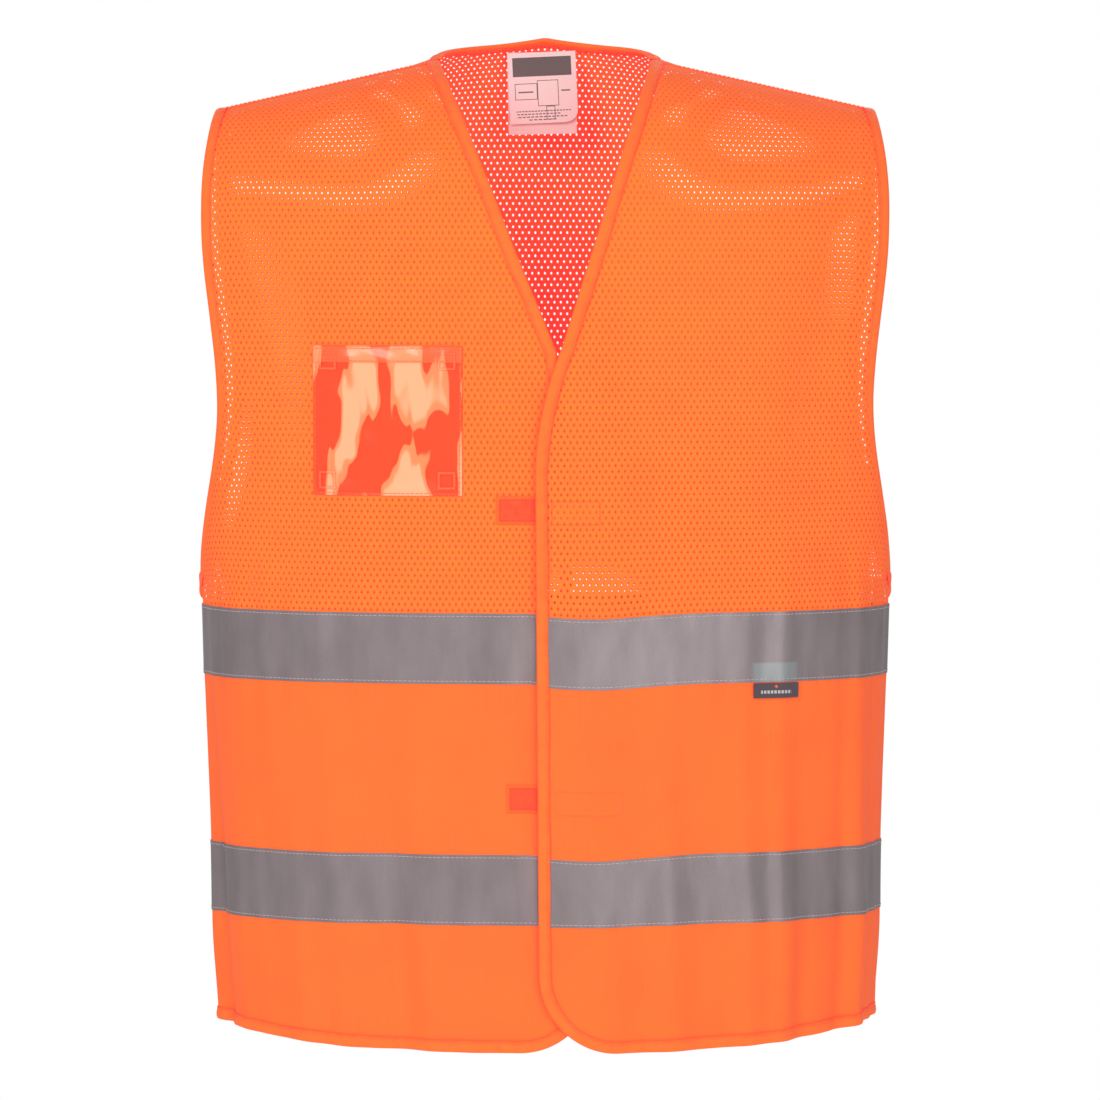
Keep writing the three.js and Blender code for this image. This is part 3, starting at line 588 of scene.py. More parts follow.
class Wire:
    """A node's output, with arithmetic: an expression on wires adds its Math nodes."""

    def __init__(self, shader, socket):
        self.shader, self.socket = shader, socket

    def math(self, operation, *others):
        return self.shader.node("ShaderNodeMath", {"operation": operation}, *others)

    def __add__(self, other):
        return self.math("ADD", self, other)

    def __sub__(self, other):
        return self.math("SUBTRACT", self, other)

    def __rsub__(self, other):
        return self.math("SUBTRACT", other, self)

    def __mul__(self, other):
        return self.math("MULTIPLY", self, other)

    def __truediv__(self, other):
        return self.math("DIVIDE", self, other)

    def __pow__(self, other):
        return self.math("POWER", self, other)

    def __gt__(self, other):
        return self.math("GREATER_THAN", self, other)

    def __lt__(self, other):
        return self.math("LESS_THAN", self, other)

    __radd__, __rmul__ = __add__, __mul__

    def fraction(self):
        return self.math("FRACT", self)

    def absolute(self):
        return self.math("ABSOLUTE", self)

    def sine(self):
        return self.math("SINE", self)

    def least(self, other):
        return self.math("MINIMUM", self, other)

    def most(self, other):
        return self.math("MAXIMUM", self, other)

    def ridges(self, pitch):
        """A wave along this place, with one ridge in every pitch."""
        return (self * (2 * math.pi / pitch)).sine()

    def step(self, low, high):
        """0 below low, 1 above high, and a soft rise between."""
        return self.shader.node("ShaderNodeMapRange", {"interpolation_type": "SMOOTHSTEP"},
                                **{"Value": self, "From Min": low, "From Max": high})


class Shader:
    """A material being made, with one principled surface."""

    def __init__(self, name):
        self.material = bpy.data.materials.new(name)
        self.material.use_nodes = True
        self.tree = self.material.node_tree
        self.tree.nodes.clear()
        self.output = self.tree.nodes.new("ShaderNodeOutputMaterial")
        self.surface = self.tree.nodes.new("ShaderNodeBsdfPrincipled")
        self.tree.links.new(self.surface.outputs[0], self.output.inputs[0])

    def feed(self, socket, value):
        if isinstance(value, Wire):
            self.tree.links.new(value.socket, socket)
        elif socket.type == "RGBA" and len(value) == 3:
            socket.default_value = (*value, 1.0)
        else:
            socket.default_value = value

    def node(self, kind, settings=None, *values, out=0, **named):
        """Any node: its settings first, then the values or wires of its sockets."""
        made = self.tree.nodes.new(kind)
        for key, value in (settings or {}).items():
            setattr(made, key, value)
        for place, value in enumerate(values):
            self.feed(made.inputs[place], value)
        for key, value in named.items():
            self.feed(made.inputs[key], value)
        return Wire(self, made.outputs[out])

    def mix(self, factor, a, b):
        made = self.tree.nodes.new("ShaderNodeMix")
        made.data_type = "RGBA"
        for place, value in ((0, factor), (6, a), (7, b)):
            self.feed(made.inputs[place], value)
        return Wire(self, made.outputs[2])

    def cloth(self):
        """The place on the flat cut, in millimetres: across and along."""
        place = self.node("ShaderNodeAttribute", {"attribute_name": "cloth"}, out="Vector")
        split = self.tree.nodes.new("ShaderNodeSeparateXYZ")
        self.feed(split.inputs[0], place)
        return place, Wire(self, split.outputs[0]), Wire(self, split.outputs[1])

    def place(self):
        """The place in the vest's own frame, in metres, as X, Y and Z."""
        where = self.node("ShaderNodeTexCoord", out="Object")
        split = self.tree.nodes.new("ShaderNodeSeparateXYZ")
        self.feed(split.inputs[0], where)
        return where, *(Wire(self, split.outputs[k]) for k in range(3))

    def stretched(self, vector, scales):
        """A place with its own scale along each axis."""
        return self.node("ShaderNodeVectorMath", {"operation": "MULTIPLY"}, vector, scales)

    def noise(self, vector, scale, detail=2.0):
        return self.node("ShaderNodeTexNoise", None, Vector=vector, Scale=scale, Detail=detail)

    def bump(self, height, strength, distance):
        return self.node("ShaderNodeBump", None, Height=height, Strength=strength,
                         Distance=distance, out="Normal")

    def finish(self, **sockets):
        for key, value in sockets.items():
            self.feed(self.surface.inputs[key.replace("_", " ")], value)
        return self.material


MATERIALS = {}


def material(name):
    """The named material, made when it is first asked for."""
    if name not in MATERIALS:
        MATERIALS[name] = RECIPES[name](Shader(name), bpy.context.scene.vest_colours)
    return MATERIALS[name]


def dyed(shader, colours, base, normal, rough=0.75, glow=0.28, sheen=0.03):
    """Fluorescent cloth: a saturated dye, with painted light from a constant emission that stands
    in for the dye's fluorescence and keeps its colour in shade.
    """
    return shader.finish(Base_Color=base, Roughness=rough, Normal=normal,
                         Emission_Color=tuple(colours.glow), Emission_Strength=glow,
                         Sheen_Weight=sheen, Sheen_Roughness=0.4,
                         Specular_IOR_Level=0.12)


def mesh_knit(shader, colours):
    """Open mesh knit: rounded strands round the holes, with fine wales along them."""
    cloth = bpy.context.scene.vest_cloth
    pitch, rows = cloth.hole_pitch / MM, cloth.row_pitch / MM
    where, u, v = shader.cloth()

    def to_hole(shift):
        """Distance to the nearest hole of one of the two staggered sets of rows."""
        across = ((u / pitch + shift).fraction() - 0.5) * (pitch / 1.5)
        along = ((v / (2 * rows) + shift).fraction() - 0.5) * (2 * rows / 2.4)
        return (across * across + along * along) ** 0.5

    near = to_hole(0.5).least(to_hole(0.0))
    strand = near.step(0.42, 1.15)
    wale = u.ridges(0.75) * 0.5 + 0.5
    loop = (v * (2 * math.pi / 0.68) + wale * 2.0).sine() * 0.5 + 0.5
    cloudy = shader.noise(where, 0.035)
    fine = shader.noise(where, 1.8)
    height = strand * 0.8 + wale * loop * 0.22 + fine * 0.12
    lozenge = 1 - (((u / pitch).fraction() - 0.5).absolute() * 2).step(0.3, 1.0)
    # Painted shade: the knit is painted darker towards the edges of its holes, mixing towards the
    # shade colour; the cloudy noise is random tone, the loops are the knit's own, and the lozenge
    # term is lighter midway along each hole pitch.
    tone = strand * 0.28 + cloudy * 0.3 + loop * 0.08 + lozenge * 0.08 + 0.42
    bright = (colours.orange[0], colours.orange[1] * 1.12, colours.orange[2])
    base = shader.mix(tone, tuple(colours.shade), bright)
    return dyed(shader, colours, base, shader.bump(height, 0.45, 0.0003), 0.8)


def woven(shader, colours):
    """Plain woven polyester: fine warp and weft threads with a faint lengthwise streak."""
    where, u, v = shader.cloth()
    warp = u.ridges(0.42)
    weft = v.ridges(0.46)
    streak = shader.noise(shader.stretched(where, (0.9, 0.03, 1.0)), 1.0, 3.0)
    cloudy = shader.noise(where, 0.02)
    height = warp * weft * 0.5 + streak * 0.6
    tone = (0.72 + (streak - 0.5) * 0.35 + (cloudy - 0.5) * 0.5).step(0.2, 0.9)
    base = shader.mix(tone, tuple(0.55 * a + 0.45 * b for a, b in
                                  zip(colours.shade, colours.orange)),
                      tuple(lerp(a, b, 0.12) for a, b in zip(colours.orange, colours.shade)))
    return dyed(shader, colours, base, shader.bump(height, 0.35, 0.0002), 0.62)


def binding_tape(shader, colours):
    """Folded binding: a ribbed narrow tape, ribs across it."""
    where, along, across = shader.cloth()
    rib = along.ridges(0.55)
    # Painted shade: the tape is painted darker towards its two open edges, where it meets the
    # cloth; the cloudy noise is random tone.
    edge = (across.absolute() / 7.2).step(0.55, 1.0)
    cloudy = shader.noise(where, 0.12)
    tone = (0.75 + (cloudy - 0.5) * 0.6 - edge * 0.25).step(0.0, 0.9)
    base = shader.mix(tone, tuple(colours.shade), tuple(colours.orange))
    height = rib * 0.35 + shader.noise(where, 0.9) * 0.5
    return dyed(shader, colours, base, shader.bump(height, 0.45, 0.0003), 0.6)


def reflective(shader, colours):
    """Reflective tape: a grey backing covered with tiny glass beads."""
    where, *_ = shader.cloth()
    beads = shader.noise(where, 3.2, 1.0)
    speck = shader.noise(where, 1.35)
    cloudy = shader.noise(shader.stretched(where, (0.06, 0.02, 1.0)), 1.0)
    crease = shader.noise(shader.stretched(where, (0.35, 0.05, 1.0)), 1.0)
    # The specks are the tape's own; the broad cloudy bands and the creases are painted shade and
    # light of the tape's soft folds.
    uneven = (speck - 0.5) * 0.75 + (cloudy - 0.5) * 0.6 + (crease - 0.5) * 0.1
    tone = (0.5 + uneven).step(0.1, 0.9)
    grey = tuple(colours.tape)
    base = shader.mix(tone, tuple(c * 0.78 for c in grey), tuple(c * 1.2 for c in grey))
    _, x, y, z = shader.place()
    tab_low, tab_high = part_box("side_tab")
    beside = (((x - (tab_low.x + tab_high.x) / 2).absolute() / 0.0155)
              .most((z - tab_high.z - 0.0065).absolute() / 0.0075)).step(1.15, 0.85) * (y < 0.0)
    base = shader.mix(beside * (0.4 + speck * 0.4), base, (0.36, 0.42, 0.42))
    height = beads * 0.35 + crease * 0.5
    return shader.finish(Base_Color=base, Roughness=0.38, Metallic=0.35, Coat_Weight=0.12,
                         Coat_Roughness=0.3, Normal=shader.bump(height, 0.3, 0.0003))


def thread_of(picked, glow):
    """Twisted sewing thread of one colour."""
    def recipe(shader, colours):
        where, *_ = shader.place()
        fibre = shader.noise(where, 2600.0)
        base_colour = tuple(getattr(colours, picked))
        base = shader.mix(fibre.step(0.3, 0.7), tuple(c * 0.8 for c in base_colour), base_colour)
        return shader.finish(Base_Color=base, Roughness=0.5, Sheen_Weight=0.2,
                             Emission_Color=tuple(colours.glow), Emission_Strength=glow,
                             Normal=shader.bump(fibre, 0.4, 0.0002))
    return recipe


def pile(shader, colours):
    """Fastening tape: brushed loops inside a woven border."""
    where, *_ = shader.place()
    _, from_edge, _ = shader.cloth()
    tuft = shader.noise(where, 1500.0, 3.0)
    patch = shader.noise(where, 220.0)
    dye = tuple(colours.pile)
    base = shader.mix((tuft * 0.7 + patch * 0.4).step(0.3, 0.8), tuple(c * 0.72 for c in dye),
                      tuple(min(1.0, c * 1.15) for c in dye))
    border = 1 - (from_edge + patch).step(2.1, 2.7)
    base = shader.mix(border, base, tuple(0.92 * c for c in colours.orange))
    return dyed(shader, colours, base, shader.bump(tuft, 0.8, 0.0008), 0.9, 0.25)


def painted_reflection_patches(shader):
    """Tall wavy patches of painted reflection on the vinyl: a bent noise, higher where the
    reflection is painted.
    """
    where, *_ = shader.place()
    stretched = shader.stretched(where, (1.0, 0.0, 0.3))
    warp = shader.node("ShaderNodeTexNoise", None, out="Color", Vector=stretched, Scale=60.0,
                       Detail=1.0)
    bent_place = shader.node("ShaderNodeVectorMath", {"operation": "MULTIPLY_ADD"}, warp,
                             (0.020, 0.0, 0.012), stretched)
    return shader.noise(bent_place, 44.0)


def vinyl(shader, colours):
    """Clear vinyl tinted orange, with wavy patches of painted reflection in peach, paler in their
    middles, and painted light from a constant emission.
    """
    reach = painted_reflection_patches(shader)
    # Painted reflection: the vinyl is painted peach and made more opaque in patches, and paler
    # peach (pale) in their middles; the emission is painted light.
    painted_reflection, pale = reach.step(0.485, 0.505), reach.step(0.53, 0.57)
    base = shader.mix(painted_reflection, (0.96, 0.12, 0.012), (1.0, 0.36, 0.12))
    base = shader.mix(pale, base, (1.0, 0.60, 0.30))
    return shader.finish(Base_Color=base, Roughness=0.14, Alpha=0.5 + painted_reflection * 0.36,
                         Coat_Weight=0.35, Coat_Roughness=0.06, Emission_Color=(1.0, 0.03, 0.1),
                         Emission_Strength=0.2, Normal=shader.bump(reach, 0.3, 0.002))


def vinyl_edge(shader, colours):
    """The doubled, pressed borders of the vinyl."""
    reach = painted_reflection_patches(shader)
    # Painted reflection: peach patches on the borders; the emission is painted light.
    base = shader.mix(reach.step(0.485, 0.52), (1.0, 0.23, 0.05), (1.0, 0.50, 0.20))
    return shader.finish(Base_Color=base, Roughness=0.2, Alpha=0.6, Coat_Weight=0.3,
                         Coat_Roughness=0.1, Emission_Color=(1.0, 0.03, 0.1),
                         Emission_Strength=0.18, Normal=shader.bump(reach, 0.3, 0.001))


def satin(shader, colours):
    """Printed satin label: a faint weave, a solid header block and plain ruled marks."""
    where, u, v = shader.cloth()
    weave = u.ridges(0.3) * v.ridges(0.35)

    def box(left, right, low, high):
        return (u > left) * (u < right) * (v > low) * (v < high)

    def frame_of(left, right, low, high, line=0.5):
        inner = box(left + line, right - line, low + line, high - line)
        return box(left, right, low, high) * (1 - inner)

    marks = box(3.5, 46.5, 34.5, 48.5)
    for outline in ((4.5, 21.0, 17.5, 29.5), (21.0, 36.5, 12.5, 31.5), (27.0, 33.5, 2.5, 12.5)):
        marks = marks.most(frame_of(*outline))
    for row, (start, end) in enumerate(((5.0, 45.0), (5.0, 38.0), (5.0, 42.0), (14.0, 34.0))):
        low = 8.6 - row * 2.1
        dashes = box(start, end, low, low + 0.8) * ((u / (2.3 + 0.4 * row)).fraction() < 0.72)
        marks = marks.most(dashes)
    marks = marks.most(box(7.0, 18.0, 22.6, 23.6)).most(box(38.5, 45.0, 23.0, 24.0))
    worn = shader.noise(where, 1.3)
    white = shader.mix(worn.step(0.3, 0.7), tuple(c * 0.93 for c in colours.label),
                       tuple(colours.label))
    base = shader.mix(marks * (0.86 + worn * 0.14), white, tuple(colours.print))
    return shader.finish(Base_Color=base, Roughness=0.42, Sheen_Weight=0.3,
                         Normal=shader.bump(weave, 0.12, 0.0001))


def tab_tape(shader, colours):
    """Dark woven tab with one row of plain pale bars and a small orange mark."""
    where, u, v = shader.cloth()
    weave = u.ridges(0.5) * v.ridges(0.5)
    bars = (u > 5.0) * (u < 26.0) * (v > 3.2) * (v < 5.4) * ((u / 2.35).fraction() < 0.68)
    mark = (((u - 15.5).absolute() + (v - 8.2).absolute()) < 1.3)
    dark = tuple(colours.tab)
    base = shader.mix(shader.noise(where, 1.5), dark, tuple(c * 1.5 for c in dark))
    base = shader.mix(bars, base, (0.62, 0.56, 0.58))
    base = shader.mix(mark, base, (0.85, 0.16, 0.06))
    return shader.finish(Base_Color=base, Roughness=0.62, Sheen_Weight=0.2,
                         Normal=shader.bump(weave, 0.35, 0.0002))


RECIPES = {
    "mesh_knit": mesh_knit, "woven": woven, "binding_tape": binding_tape,
    "reflective": reflective, "tape_thread": thread_of("thread", 0.0),
    "orange_thread": thread_of("orange", 0.2), "pile": pile, "vinyl": vinyl,
    "vinyl_edge": vinyl_edge, "satin": satin, "tab_tape": tab_tape,
}


# ------------------------------------------------------------------ the mesh top

RUN_STEP, COLUMN_STEP = 2.0, 4.0  # spacing of the map's tables, mm
RUN_END = 330.0  # further round than the side seam
OUTER_X = 246.9
TRIMMED_SIDE, TRIMMED_TOP = 2.2, 0.3  # the knit stops this far inside its seams
SEAM_OVERLAP = 6.0  # and runs this far down behind the lower panels
# The back's knit is a little looser, so that its holes lie behind the fronts' strands.
BACK_LOOSER = 1.05
BACK_SHIFT = (2.1, -15.1)


class FlatMap:
    """Places on the body for places on the flat cloth of one side, measured along the cloth."""

    def __init__(self, side):
        self.levels = np.arange(SEAM - 8, SHOULDER + 0.1, 1.0)
        self.across = np.linspace(0, 1, 121)
        self.run = np.arange(0, RUN_END, RUN_STEP)
        t = self.levels[:, None]
        x = self.across[None, :] ** 0.8 * half_width(side, t)
        point, _ = surface(side, x, np.broadcast_to(t, x.shape))
        sideways = np.linalg.norm(np.diff(point, axis=1), axis=2).cumsum(1)
        sideways = np.concatenate([np.zeros((len(t), 1)), sideways], 1)
        self.x_at = np.array([np.interp(self.run, s, row) for s, row in zip(sideways, x)])
        self.edge_run = sideways[:, -1]
        self.column_x = np.arange(0, OUTER_X + 1, COLUMN_STEP)
        grid_x = np.minimum(self.column_x[None, :], half_width(side, t))
        point, _ = surface(side, grid_x, np.broadcast_to(t, grid_x.shape))
        upwards = np.linalg.norm(np.diff(point, axis=0), axis=2).cumsum(0)
        upwards = np.concatenate([np.zeros((1, len(self.column_x))), upwards], 0)
        self.heights = np.arange(0, upwards.max() + COLUMN_STEP, COLUMN_STEP)
        self.t_at = np.array([np.interp(self.heights, column, self.levels, right=np.nan)
                              for column in upwards.T])

    @staticmethod
    def lookup(table, a, b):
        """Bilinear reading of a table at fractional rows and columns."""
        i = np.clip(a.astype(int), 0, table.shape[0] - 2)
        j = np.clip(b.astype(int), 0, table.shape[1] - 2)
        fa, fb = np.clip(a - i, 0, 1), np.clip(b - j, 0, 1)
        return ((table[i, j] * (1 - fa) + table[i + 1, j] * fa) * (1 - fb)
                + (table[i, j + 1] * (1 - fa) + table[i + 1, j + 1] * fa) * fb)

    def places(self, u, v):
        """x and level of flat places, and whether each lies on the cloth."""
        v = v - (self.levels[0] - SEAM)
        x = np.abs(u)
        for _ in range(4):
            t = self.lookup(self.t_at, np.clip(x, 0, OUTER_X) / COLUMN_STEP, v / COLUMN_STEP)
            rows = np.nan_to_num(t, nan=SHOULDER) - self.levels[0]
            x = self.lookup(self.x_at, rows, np.abs(u) / RUN_STEP)
        sideways = np.interp(np.nan_to_num(t, nan=SHOULDER), self.levels, self.edge_run)
        outside = np.isnan(t) | (np.abs(u) > sideways - TRIMMED_SIDE) | (t > SHOULDER - TRIMMED_TOP)
        return np.sign(u) * x, np.nan_to_num(t, nan=SHOULDER), ~outside


# Corners of a hole, as shares of its half width and half height, and the lattice's extent.
RING = [(0.0, 1.0), (1.0, 0.42), (1.0, -0.42), (0.0, -1.0), (-1.0, -0.42), (-1.0, 0.42)]
COLUMNS, ROWS = (-72, 73), (-2, 130)


def net(name, side, inside, lift_of):
    """Mesh knit as real strands round staggered holes, kept where inside(x, t, z) allows."""
    cloth = bpy.context.scene.vest_cloth
    looser = BACK_LOOSER if side > 0 else 1.0
    pitch, rows = cloth.hole_pitch / MM * looser, cloth.row_pitch / MM * looser
    hole = (cloth.back_hole if side > 0 else cloth.front_hole) / MM / 2
    ring = np.array(RING) * (hole, hole * cloth.hole_height)
    flat = FlatMap(side)
    i, j = np.meshgrid(np.arange(*COLUMNS), np.arange(*ROWS), indexing="ij")
    shift_u, shift_v = BACK_SHIFT if side > 0 else (0.0, 0.0)
    middle_u, middle_v = (i + 0.5 * (j % 2)) * pitch + shift_u, j * rows + shift_v
    u = middle_u[..., None] + ring[:, 0]
    v = middle_v[..., None] + ring[:, 1]
    x, t, held = flat.places(u, v)
    point, _ = surface(side, x, t)
    kept = (held & inside(x, t, point[..., 2])).all(-1)
    number = np.full(kept.shape, -1)
    number[kept] = np.arange(kept.sum())
    lift = lift_of(x[kept], t[kept])
    points = on_cloth(side, x[kept], t[kept], (CLOTH[0] + CLOTH[1]) / 2, lift).reshape(-1, 3)
    faces = []
    count_i, count_j = kept.shape
    for a in range(1, count_i - 1):
        for b in range(count_j - 1):
            here, right = number[a, b], number[a + 1, b]
            odd = j[a, b] % 2
            up_right, up_left = number[a + odd, b + 1], number[a + odd - 1, b + 1]
            if here < 0:
                continue
            h, r, ur, ul = here * 6, right * 6, up_right * 6, up_left * 6
            if right >= 0:
                faces.append((h + 2, r + 4, r + 5, h + 1))
                if up_right >= 0:
                    faces.append((h + 1, r + 5, ur + 3))
            if up_right >= 0:
                faces.append((h + 1, ur + 3, ur + 4, h))
                if up_left >= 0:
                    faces.append((h, ur + 4, ul + 2))
            if up_left >= 0:
                faces.append((h, ul + 2, ul + 3, h + 5))
    faces = outward(faces, side > 0)  # the back's lattice is laid out in the fronts' order
    places = np.stack([u[kept] - shift_u, v[kept] - shift_v], -1) / looser
    piece = new_mesh(name, points, faces, material("mesh_knit"), places)
    cells = kept.sum() * pitch * rows * MM * MM
    wide = (u[kept].max() - u[kept].min()) * MM
    tall = (v[kept].max() - v[kept].min()) * MM
    record_cut(piece, (wide, tall, min(cells, wide * tall)))
    return piece


def back_net():
    def inside(x, t, _z):
        beside_neck = np.abs(x) >= NECK_HALF_WIDTH
        return (beside_neck | (t < back_neck_level(x) - 1.5)) & (t > SEAM - SEAM_OVERLAP)

    def lift_of(_x, _t):
        return 0.0

    return net("back_mesh_cloth", 1, inside, lift_of)


def front_net(which):
    front = FRONTS[which]

    def inside(x, t, z):
        own = front["sign"] * x
        return (own > bound_edge(front, z, TRIMMED_SIDE)) & (t > SEAM - SEAM_OVERLAP)

    def lift_of(x, t):
        return overlap_lift(front, x, t)

    return net(f"front_{which}_mesh_cloth", -1, inside, lift_of)


# ------------------------------------------------------------------ operators

HUNG = []  # sheets: (piece, how it is held, what it hangs from or lies on, trim)
PANEL_INSET, TAPE_INSET, TAPE_ROW_INSET = 1.0, 3.2, 8.5  # from the finished edge
BACK_COLUMNS, FRONT_COLUMNS = 190, 96  # of the lower panels


def corner_rows():
    """Rows of a front's lower panel, closer together round its lower corner."""
    turn = np.linspace(0, np.pi / 2, 22)
    corner = HEM + PANEL_INSET + (CORNER_RADIUS - PANEL_INSET) * (1 - np.cos(turn))
    step = bpy.context.scene.vest_cloth.grid / MM
    return np.concatenate([corner, spread(corner[-1], SEAM, step)[1:]])


class VEST_OT_mesh_top(bpy.types.Operator):
    """Knit the mesh top: the back and the two fronts, with their holes"""
    bl_idname = "vest.mesh_top"
    bl_label = "Mesh Top"

    def execute(self, context):
        back = back_net()
        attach(back, "body")
        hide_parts("back_mesh")
        HUNG.append((back, "hung", ["back_neck_binding"],
                     ["back_neck_binding", "back_neck_stitches"]))
        for which in FRONTS:
            piece = front_net(which)
            join_front(piece, which)
            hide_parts(f"front_{which}_mesh_side", f"front_{which}_mesh_centre")
            HUNG.append((piece, "hung", ["back_mesh_cloth"],
                         [f"front_{which}_binding_tape", f"front_{which}_binding_stitches"]))
        return {"FINISHED"}


class VEST_OT_lower_panels(bpy.types.Operator):
    """Weave the lower panels of the back and the fronts"""
    bl_idname = "vest.lower_panels"
    bl_label = "Lower Panels"

    def execute(self, context):
        step = context.scene.vest_cloth.grid / MM
        grid = back_places(spread(HEM + PANEL_INSET, SEAM, step), BACK_COLUMNS)
        back = slab("back_lower_cloth", 1, grid, CLOTH, "woven")
        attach(back, "body")
        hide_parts("back_lower")
        HUNG.append((back, "hung", ["back_mesh_cloth"],
                     ["back_hem_binding", "back_hem_stitches"]))
        for which, front in FRONTS.items():
            grid = front_places(front, corner_rows(), FRONT_COLUMNS, PANEL_INSET)
            piece = slab(f"front_{which}_lower_cloth", -1, grid, CLOTH, "woven",
                         front["sign"] < 0)
            join_front(piece, which)
            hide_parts(f"front_{which}_lower_side", f"front_{which}_lower_centre")
            HUNG.append((piece, "hung", [f"front_{which}_mesh_cloth"], []))
        return {"FINISHED"}


class VEST_OT_tapes(bpy.types.Operator):
    """Lay the two rings of reflective tape and sew them on"""
    bl_idname = "vest.tapes"
    bl_label = "Reflective Tapes"

    def execute(self, context):
        trim = context.scene.vest_trim
        margin = trim.tape_margin / MM
        for level, (low, high) in (("upper", UPPER_TAPE), ("lower", LOWER_TAPE)):
            rows = spread(low, high, 2.5)
            lines = [low + margin, high - margin]
            tape = slab(f"back_{level}_tape_strip", 1, back_places(rows, 210), TAPE, "reflective")
            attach(tape, "body")
            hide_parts(f"back_{level}_tape")
            paths = [self.row(1, *back_places([z], 260)) for z in lines]
            self.sew(f"back_{level}_tape", paths, None, trim)
            HUNG.append((tape, "laid", ["back_lower_cloth"], [f"back_{level}_tape_stitches"]))
            for which, front in FRONTS.items():
                name = f"front_{which}_{level}_tape"
                grid = front_places(front, rows, 106, TAPE_INSET)
                tape = slab(f"{name}_strip", -1, grid, TAPE, "reflective", front["sign"] < 0)
                join_front(tape, which)
                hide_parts(f"{name}_side", f"{name}_centre")
                paths = [self.row(-1, *front_places(front, [z], 150, TAPE_ROW_INSET))
                         for z in lines]
                self.sew(name, paths, which, trim)
                HUNG.append((tape, "laid", [f"front_{which}_lower_cloth"], [f"{name}_stitches"]))
        return {"FINISHED"}

    @staticmethod
    def row(side, x, t, lift):
        """A path along a tape for a row of stitches, with its normals."""
        points = on_cloth(side, x, t, TAPE[1] + 0.05, lift)[0]
        return points, surface(side, x, t)[1][0]

    @staticmethod
    def sew(name, paths, which, trim):
        """Rows of stitches that ride with the tape; which names its front, if it has one."""
        groups = [along_path(points, normals, trim.stitch_pitch, trim.seed + k)
                  for k, (points, normals) in enumerate(paths)]
        thread = tubes(f"{name}_stitches", groups, "tape_thread")
        if which:
            join_front(thread, which)
        else:
            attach(thread, "body")


# The binding's folded section: (in from the fold, height off the cloth's middle), outer face
# first. The dips are where the stitching pulls it down.
BINDING_SECTION = [(7.75, 1.15), (7.2, 1.32), (6.5, 0.98), (5.6, 1.34), (4.2, 1.62), (2.4, 1.72),
                   (0.8, 1.55), (-0.2, 1.05), (-0.6, 0.0), (-0.2, -1.0), (0.8, -1.4),
                   (2.4, -1.55), (4.2, -1.5), (5.6, -1.28), (6.5, -0.98), (7.6, -1.1)]
SECTION_WIDTH = 8.5  # the width that the section above is drawn for
STITCH_LINE, STITCH_HEIGHT = 6.5, 1.26
BINDING_STEP, CLOSEST_POINTS = 3.0, 0.4
# The tape's unevenness along an edge, as (size, pitch, share of the seed).
BINDING_WOBBLE = [(0.18, 17.0, 1), (0.1, 6.3, 2)]


def frame_along(edge, up, closed):
    """Directions along a path, and its normals made square to them."""
    if closed:
        ahead, behind = np.roll(edge, -2, 0), np.roll(edge, 2, 0)
    else:
        ahead = np.concatenate([edge[2:], edge[-1:], edge[-1:]])
        behind = np.concatenate([edge[:1], edge[:1], edge[:-2]])
    along = ahead - behind
    along /= np.linalg.norm(along, axis=1, keepdims=True)
    up = up - along * (up * along).sum(1, keepdims=True)
    return along, up / np.linalg.norm(up, axis=1, keepdims=True)


def walled_section(wall):
    """The folded section as a closed outline of a tape with a real thickness."""
    section = np.array(BINDING_SECTION)
    direction = np.gradient(section, axis=0)
    direction /= np.linalg.norm(direction, axis=1, keepdims=True)
    off = np.stack([-direction[:, 1], direction[:, 0]], 1) * wall
    return np.concatenate([section + off, (section - off)[::-1]])


def ring_faces(count, around, closed):
    """Quads between rings of points along a path, and the two ends of an open one."""
    index = np.arange(count * around).reshape(count, around)
    following = np.roll(index, -1, 0) if closed else index[1:]
    first = index if closed else index[:-1]
    faces = np.stack([first, np.roll(first, -1, 1), np.roll(following, -1, 1), following], -1)
    faces = faces.reshape(-1, 4).tolist()
    if not closed:
        for k in range(around // 2 - 1):
            for ring, turned in ((index[0], True), (index[-1], False)):
                quad = (ring[k], ring[k + 1], ring[around - 2 - k], ring[around - 1 - k])
                faces.append(quad[::-1] if turned else quad)
    return faces


